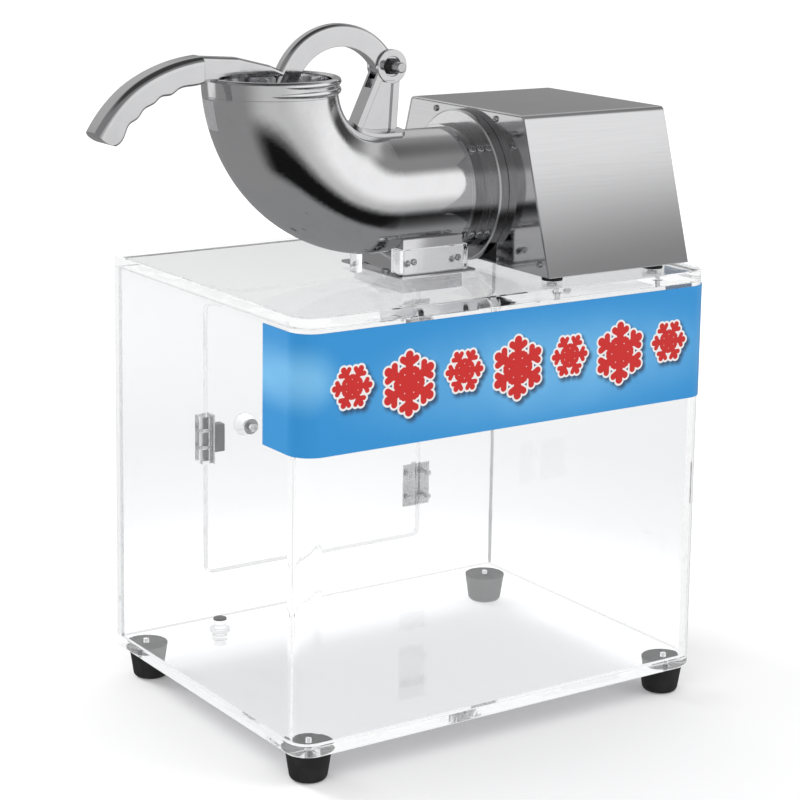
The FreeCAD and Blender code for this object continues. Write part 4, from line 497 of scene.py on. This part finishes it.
def clear_moulding(name, tone, bend, ripple_height):
    """Clear moulded plastic: slight flow ripples and a few dull spots."""
    material, tree, surface = finish_named(name)
    flow = use(tree, grain, Stretch=(60, 60, 25), Detail=2.0)["Height"]
    marks = use(tree, smudges, Size=30.0, Cover=0.5)["Mask"]
    join(tree, surface, Base_Color=(*tone, 1), Transmission_Weight=1.0, IOR=bend,
         Roughness=times(tree, marks, 0.12), Normal=bump(tree, flow, ripple_height))
    pass_light(tree, surface)
    return material


def rocker_red(name):
    """Glossy red rocker with finger marks and rounded edges."""
    material, tree, surface = finish_named(name)
    marks = use(tree, smudges, Size=80.0, Cover=0.5)["Mask"]
    rounded = use(tree, edges, Radius=0.0004, Breakup=0.4)["Normal"]
    join(tree, surface, Base_Color=blend_colour(tree, marks, (0.62, 0.035, 0.03), (0.50, 0.03, 0.03)),
         Coat_Weight=0.4, Roughness=rough_by(tree, marks, (0.2, 0.4)), Normal=rounded)
    return material


# ------------------------------------------------------------------ sign

SIGN_HEIGHT = 0.327                   # of its middle line
SIGN_FRONT = -0.150                   # Y from the case's middle: printed with crystals beyond this
PALE_CLOUDS = ((0.03, -0.004, 0.215, 0.052),              # middle X and Z, reach in X and Z
               (-0.205, 0.012, 0.035, 0.030))
SHADOW_SHIFT = (0.0024, 0.0028)       # a crystal's shadow falls this far right and down
SHADOW_EDGE = (0.0050, -0.0008)       # distances to a crystal's outline: of its shadow,
RIM_EDGE = (0.0019, 0.0015)           # its pale rim
HEART_EDGE = (0.0002, -0.0002)        # and its red
SHADOW_DEPTH = 0.86
CRYSTAL_PITCH = 0.0545                # between the crystals' middles
CRYSTAL_SIDE = 3                      # crystals to each side of the middle one
CRYSTAL_SMALL = 0.70                  # size of every second one
CRYSTAL_LIFT = 0.004                  # and how much higher it sits
CRYSTAL_HEART = 0.0085                # radius of the disc in a crystal's middle
CRYSTAL_FOLD = math.pi / 6            # half the turn from one arm to the next
ARM = (0.0235, 0.0038)                                           # length, half thickness
TWIGS = ((0.0165, 0.0075, 0.0030), (0.0085, 0.0060, 0.0026))     # root, length, half thickness
TWIG_COS, TWIG_SIN = 0.5, math.sqrt(0.75)                        # twigs leave an arm at 60 degrees
PRINT_DOTS = 1700.0                   # per metre
INK_BLUE, INK_PALE = (0.016, 0.260, 0.610), (0.18, 0.50, 0.80)
INK_RED, INK_DEEP = (0.62, 0.010, 0.006), (0.50, 0.005, 0.004)
INK_RIM = (0.82, 0.79, 0.78)
INK_SHADOW = (0.012, 0.028, 0.075)


def crystal_effect():
    """Row of six-armed crystals, large and small by turns, as the distance in metres to their outline,
    less than 0 inside. With the place folded into one twelfth (x along an arm, y off it), an arm is
    |(max(x - length, 0), y)| - thickness, and a twig is the same along a line at 60 degrees."""
    tree, given, out = group("crystal_row", [("Across", "value", 0.0), ("Up", "value", 0.0)],
                             [("Distance", "value")])

    def of(operation, first, second=0.0):
        return math_of(tree, operation, first, second)

    count = of("ROUND", of("DIVIDE", given["Across"], CRYSTAL_PITCH))
    odd = of("PINGPONG", count, 1.0)
    size = of("SUBTRACT", 1.0, of("MULTIPLY", odd, 1.0 - CRYSTAL_SMALL))
    across = of("DIVIDE", of("SUBTRACT", given["Across"], of("MULTIPLY", count, CRYSTAL_PITCH)), size)
    up = of("DIVIDE", of("SUBTRACT", given["Up"], of("MULTIPLY", odd, CRYSTAL_LIFT)), size)
    reach = length_of(tree, across, up)
    turn = of("ADD", of("ARCTAN2", across, up), of("MULTIPLY", odd, CRYSTAL_FOLD))
    fold = of("PINGPONG", turn, CRYSTAL_FOLD)
    x, y = of("MULTIPLY", reach, of("COSINE", fold)), of("MULTIPLY", reach, of("SINE", fold))
    past = of("MAXIMUM", of("SUBTRACT", x, ARM[0]), 0.0)
    arm = of("SUBTRACT", length_of(tree, past, y), ARM[1])
    shape = of("MINIMUM", arm, of("SUBTRACT", reach, CRYSTAL_HEART))
    for root, length, thick in TWIGS:
        off = of("SUBTRACT", x, root)
        along = of("ADD", of("MULTIPLY", off, TWIG_COS), of("MULTIPLY", y, TWIG_SIN))
        beside = of("SUBTRACT", of("MULTIPLY", y, TWIG_COS), of("MULTIPLY", off, TWIG_SIN))
        past = of("SUBTRACT", along, of("MINIMUM", of("MAXIMUM", along, 0.0), length))
        shape = of("MINIMUM", shape, of("SUBTRACT", length_of(tree, past, beside), thick))
    beyond = of("GREATER_THAN", of("ABSOLUTE", count), CRYSTAL_SIDE + 0.5)
    tree.links.new(of("ADD", of("MULTIPLY", shape, size), beyond), out["Distance"])
    return tree


crystals = crystal_effect()


def pale_glow(tree, wide, high, cloud):
    """Mask of the sign's pale clouds, broken up by noise."""
    glow = 0.0
    for middle, level, reach_x, reach_z in PALE_CLOUDS:
        across = math_of(tree, "DIVIDE", minus(tree, wide, middle), reach_x)
        rise = math_of(tree, "DIVIDE", minus(tree, high, level), reach_z)
        glow = larger(tree, glow, spread(tree, length_of(tree, across, rise), 1.15, 0.1))
    return times(tree, glow, spread(tree, cloud, 0.15, 0.75, 0.35, 1.0))


def sign_film(name):
    """Printed film: blue with paler clouds, and a row of red crystals with a pale rim and a soft shadow."""
    material, tree, surface = finish_named(name)
    wide, deep, height = axes(tree, position(tree, CASE_MIDDLE))
    high = minus(tree, height, SIGN_HEIGHT)
    cloud = noise(tree, position(tree), 9.0, Detail=3.0, Distortion=0.6)
    shape = use(tree, crystals, Across=wide, Up=high)["Distance"]
    cast = use(tree, crystals, Across=minus(tree, wide, SHADOW_SHIFT[0]),
               Up=plus(tree, high, SHADOW_SHIFT[1]))["Distance"]
    front = math_of(tree, "LESS_THAN", deep, SIGN_FRONT)
    red = blend_colour(tree, cloud, INK_RED, INK_DEEP)
    ink = blend_colour(tree, pale_glow(tree, wide, high, cloud), INK_BLUE, INK_PALE)
    for mask, colour in ((spread(tree, cast, *SHADOW_EDGE, 0.0, SHADOW_DEPTH), INK_SHADOW),
                         (spread(tree, shape, *RIM_EDGE), INK_RIM),
                         (spread(tree, shape, *HEART_EDGE), red)):
        ink = blend_colour(tree, times(tree, mask, front), ink, colour)
    dots = spread(tree, cells(tree, PRINT_DOTS), 0.1, 0.6, 0.0, 0.012)
    marks = use(tree, smudges, Size=10.0, Cover=0.5)["Mask"]
    join(tree, surface, Base_Color=blend_colour(tree, dots, ink, grey(1.0)),
         Coat_Weight=0.15, Coat_Roughness=0.08, Specular_IOR_Level=0.3,
         Roughness=rough_by(tree, marks, (0.28, 0.42)), Normal=bump(tree, cloud, 0.0001))
    return material


# ------------------------------------------------------------------ a finish for each node

CASTING_COLOUR = (0.83, 0.83, 0.84)
LEVER_COLOUR = (0.68, 0.68, 0.69)
TURNED_COLOUR = (0.86, 0.86, 0.87)
SHEET_COLOUR = (0.74, 0.74, 0.75)
MIRROR_ROUGH = (0.045, 0.10)
BOW_TOP = 0.520               # height just under the housing's top edge
BOW_MIDDLE = 0.125            # X of its middle, from the case's middle
BOW_DOWN = 1.2                # how fast its front hollows downwards
BOW_ACROSS = 0.25             # and to both sides


def sheet_bow(tree):
    """Height of a slight hollow in the housing's front: it grows with the square of the depth below
    the top edge, and less with the square of the way from its middle to each side."""
    x, _, z = axes(tree, position(tree, CASE_MIDDLE))
    depth = minus(tree, BOW_TOP, z)
    aside = minus(tree, x, BOW_MIDDLE)
    return plus(tree, times(tree, depth, depth, BOW_DOWN), times(tree, aside, aside, BOW_ACROSS))


SLOT_FINISHES = {
    "clear_acrylic": clear_sheet("clear_acrylic", (0.928, 0.931, 0.935), bend=1.40, ripple_height=0.0006),
    "clear_plastic": clear_moulding("clear_plastic", (0.985, 0.99, 0.99), bend=1.47, ripple_height=0.0003),
    "polished_metal": polished_casting("polished_metal", CASTING_COLOUR, MIRROR_ROUGH, wave=0.00008),
    "brushed_sheet": satin_sheet("brushed_sheet", SHEET_COLOUR, (14, 1400, 1400), (0.13, 0.17), sheet_bow),
    "bright_steel": plated_steel("bright_steel", (0.62, 0.62, 0.63), (0.18, 0.34)),
    "cast_metal": plain_casting("cast_metal", (0.58, 0.58, 0.59), (0.38, 0.6), relief=0.00005),
    "dark_steel": plain_casting("dark_steel", (0.10, 0.10, 0.105), (0.35, 0.55), relief=0.00002),
    "laminated_iron": stacked_sheet("laminated_iron"),
    "black_rubber": moulded("black_rubber", grey(0.012), (0.62, 0.8), relief=0.00005, pitch=1500.0),
    "black_plastic": moulded("black_plastic", (0.014, 0.014, 0.015), (0.38, 0.55),
                             relief=0.00004, pitch=2200.0),
    "grey_plastic": moulded("grey_plastic", (0.20, 0.20, 0.21), (0.4, 0.6), relief=0.00004, pitch=1800.0),
    "red_plastic": rocker_red("red_plastic"),
    "blue_sign": sign_film("blue_sign"),
}
labelled_metal = labelled_casting("labelled_metal", CASTING_COLOUR, MIRROR_ROUGH, wave=0.00008)
lever_metal = polished_casting("lever_metal", LEVER_COLOUR, MIRROR_ROUGH, wave=0.00008)
OWN_FINISHES = {
    "elbow_front": labelled_metal, "elbow_back": labelled_metal,
    "lever_arm": lever_metal, "lever_grip": lever_metal, "pivot_bracket": lever_metal,
    "lid_plate": clear_sheet("lid_acrylic", (0.988, 0.989, 0.991), bend=1.19, ripple_height=0.0004),
    "base_plate": clear_sheet("base_acrylic", (0.975, 0.977, 0.980), bend=1.25, ripple_height=0.0004),
    "mouth_ring": dull_and_shaded_mouth("ring_metal", CASTING_COLOUR, MIRROR_ROUGH, wave=0.00004),
    "end_collar": painted_shade_rim("collar_metal", CASTING_COLOUR, MIRROR_ROUGH, wave=0.00002),
    "bearing_drum": painted_shade_rim("turned_drum", TURNED_COLOUR, (0.10, 0.18), wave=0.00002),
    "housing_left_panel": satin_sheet("mirror_sheet", SHEET_COLOUR, (700, 12, 700), (0.05, 0.10)),
}
NOT_MIRRORED = ("sign_panel", "case_feet")


def dress_cad_nodes():
    """Gives each CAD node its own finish, or else the finish of its slot."""
    slots = {part["node"]: part["material_slot"] for part in frame["record"]["subparts"]}
    for name, node in frame["nodes"].items():
        node.data.materials.clear()
        node.data.materials.append(OWN_FINISHES.get(name, SLOT_FINISHES[slots[name]]))
    for name in NOT_MIRRORED:
        frame["nodes"][name].visible_glossy = False


# ------------------------------------------------------------------ studio

SKY_AROUND = (0.27, 0.27, 0.272)      # what metal mirrors between the patches,
SKY_TOP = grey(0.06)                  # and overhead
SKY_TOP_RISE = (0.74, 0.90)           # sines of elevation: the overhead part begins and is full
SKY_LIGHT = grey(0.80)
# Patches of sky that metal mirrors: grey level, azimuth from the way to the camera, and inner and
# outer reach to each side of it, all in degrees, then four sines of elevation: off, on, on, off.
SKY_PATCHES = ((0.58, 30, (20, 75), (-0.50, -0.36, 0.25, 0.50)),
               (1.0, 85, (28, 62), (-0.38, -0.02, 0.38, 0.62)),
               (0.55, 180, (50, 80), (0.10, 0.42, 0.60, 0.75)),
               (0.06, 132, (6, 22), (-0.10, 0.05, 0.15, 0.55)),
               (0.80, -112, (8, 14), (-0.26, -0.20, -0.06, 0.02)),
               (0.008, 32, (38, 78), (-0.86, -0.76, -0.58, -0.42)))
FLOOR_REACH = 12.0                    # from its middle to each side
FLOOR_DROP = 0.0002                   # under the feet
FLOOR_WHITE = grey(0.86)
FLOOR_DIMMED = (0.70, 0.70, 0.702)    # seen through the case, far off
FLOOR_DIMS = (0.30, 0.95)             # distances from the middle: that begins and is full
# Light that the floor gives by itself: the distances between which it changes, then two strengths.
LIFT_IN_OPEN = (0.45, 1.8, 0.14, 0.38)
LIFT_THROUGH_CASE = (0.24, 0.62, 0.50, 0.03)
LAMPS = (("key", (1.7, -1.6, 2.3), (0, 0, 0.3), 1.6, 24.0),       # place, aim, width, watts
         ("fill", (-1.9, -1.5, 1.9), (0, 0, 0.3), 1.4, 12.0),
         ("rear", (-1.1, 2.6, 1.7), (0.1, 0, 0), 1.0, 60.0))


def sky_zone(tree, direction, azimuth, reach, heights):
    """Mask of one patch of sky, with soft borders."""
    turn = LOOK_YAW + math.radians(azimuth)
    middle = (math.sin(turn), -math.cos(turn), 0.0)
    flat = vector_of(tree, "MULTIPLY", direction, (1.0, 1.0, 0.0))[0]
    flat = vector_of(tree, "NORMALIZE", flat)[0]
    near = vector_of(tree, "DOT_PRODUCT", flat, middle)["Value"]
    rise = axes(tree, direction)["Z"]
    inner, outer = (math.cos(math.radians(angle)) for angle in reach)
    below, above = spread(tree, rise, *heights[:2]), spread(tree, rise, *heights[2:], 1.0, 0.0)
    return times(tree, spread(tree, near, outer, inner), times(tree, below, above))


def seen_directly(tree, seen):
    """1 for what the camera sees, in the open or through clear pieces."""
    return larger(tree, seen["Is Camera Ray"], seen["Transmission Depth"], clamp=True)


def studio_sky():
    """Even pale light, white where the camera looks, and grey with patches in reflections."""
    world = bpy.data.worlds.new("studio")
    bpy.context.scene.world = world
    world.use_nodes = True
    tree = world.node_tree
    tree.nodes.clear()
    direction = put(tree, "TexCoord").outputs["Generated"]
    mirrored = SKY_AROUND
    for level, *zone in SKY_PATCHES:
        mirrored = blend_colour(tree, sky_zone(tree, direction, *zone), mirrored, grey(level))
    overhead = spread(tree, axes(tree, direction)["Z"], *SKY_TOP_RISE)
    mirrored = blend_colour(tree, overhead, mirrored, SKY_TOP)
    seen = put(tree, "LightPath").outputs
    colour = blend_colour(tree, seen["Is Glossy Ray"], SKY_LIGHT, mirrored)
    colour = blend_colour(tree, seen_directly(tree, seen), colour, grey(1.0))
    light = put(tree, "Background", Color=colour, Strength=1.0)
    put(tree, "OutputWorld", Surface=light.outputs[0])


def floor_white():
    """White sweep that gives some light of its own. Seen through the case it is brighter near the part
    than in the open, and dimmer far off."""
    material, tree, surface = finish_named("floor_white")
    seen = put(tree, "LightPath").outputs
    through = math_of(tree, "MINIMUM", seen["Transmission Depth"], 1.0)
    away = vector_of(tree, "LENGTH", position(tree))["Value"]
    lift = plus(tree, times(tree, through, spread(tree, away, *LIFT_THROUGH_CASE)),
                times(tree, minus(tree, 1.0, through), spread(tree, away, *LIFT_IN_OPEN)))
    dimmed = times(tree, through, spread(tree, away, *FLOOR_DIMS))
    join(tree, surface, Base_Color=blend_colour(tree, dimmed, FLOOR_WHITE, FLOOR_DIMMED), Roughness=0.9,
         Emission_Color=(*grey(1.0), 1), Emission_Strength=times(tree, seen_directly(tree, seen), lift))
    return material


def studio():
    """White floor that keeps the shadow, the sky, and three broad lamps that no metal mirrors."""
    corners = [(x * FLOOR_REACH, y * FLOOR_REACH, 0) for x, y in ((-1, -1), (1, -1), (1, 1), (-1, 1))]
    mesh = bpy.data.meshes.new("floor")
    mesh.from_pydata(corners, [], [(0, 1, 2, 3)])
    mesh.materials.append(floor_white())
    floor = bpy.data.objects.new("floor", mesh)
    floor.location.z = -FLOOR_DROP
    floor.visible_glossy = False
    bpy.context.scene.collection.objects.link(floor)
    studio_sky()
    for name, place, aim, width, power in LAMPS:
        data = bpy.data.lights.new(name, "AREA")
        data.size = width
        data.energy = power
        lamp = bpy.data.objects.new(name, data)
        lamp.location = place
        lamp.rotation_euler = (Vector(aim) - Vector(place)).to_track_quat("-Z", "Y").to_euler()
        lamp.visible_glossy = False
        bpy.context.scene.collection.objects.link(lamp)


place_camera()
dress_cad_nodes()
studio()

bpy.context.scene.view_settings.view_transform = "Standard"
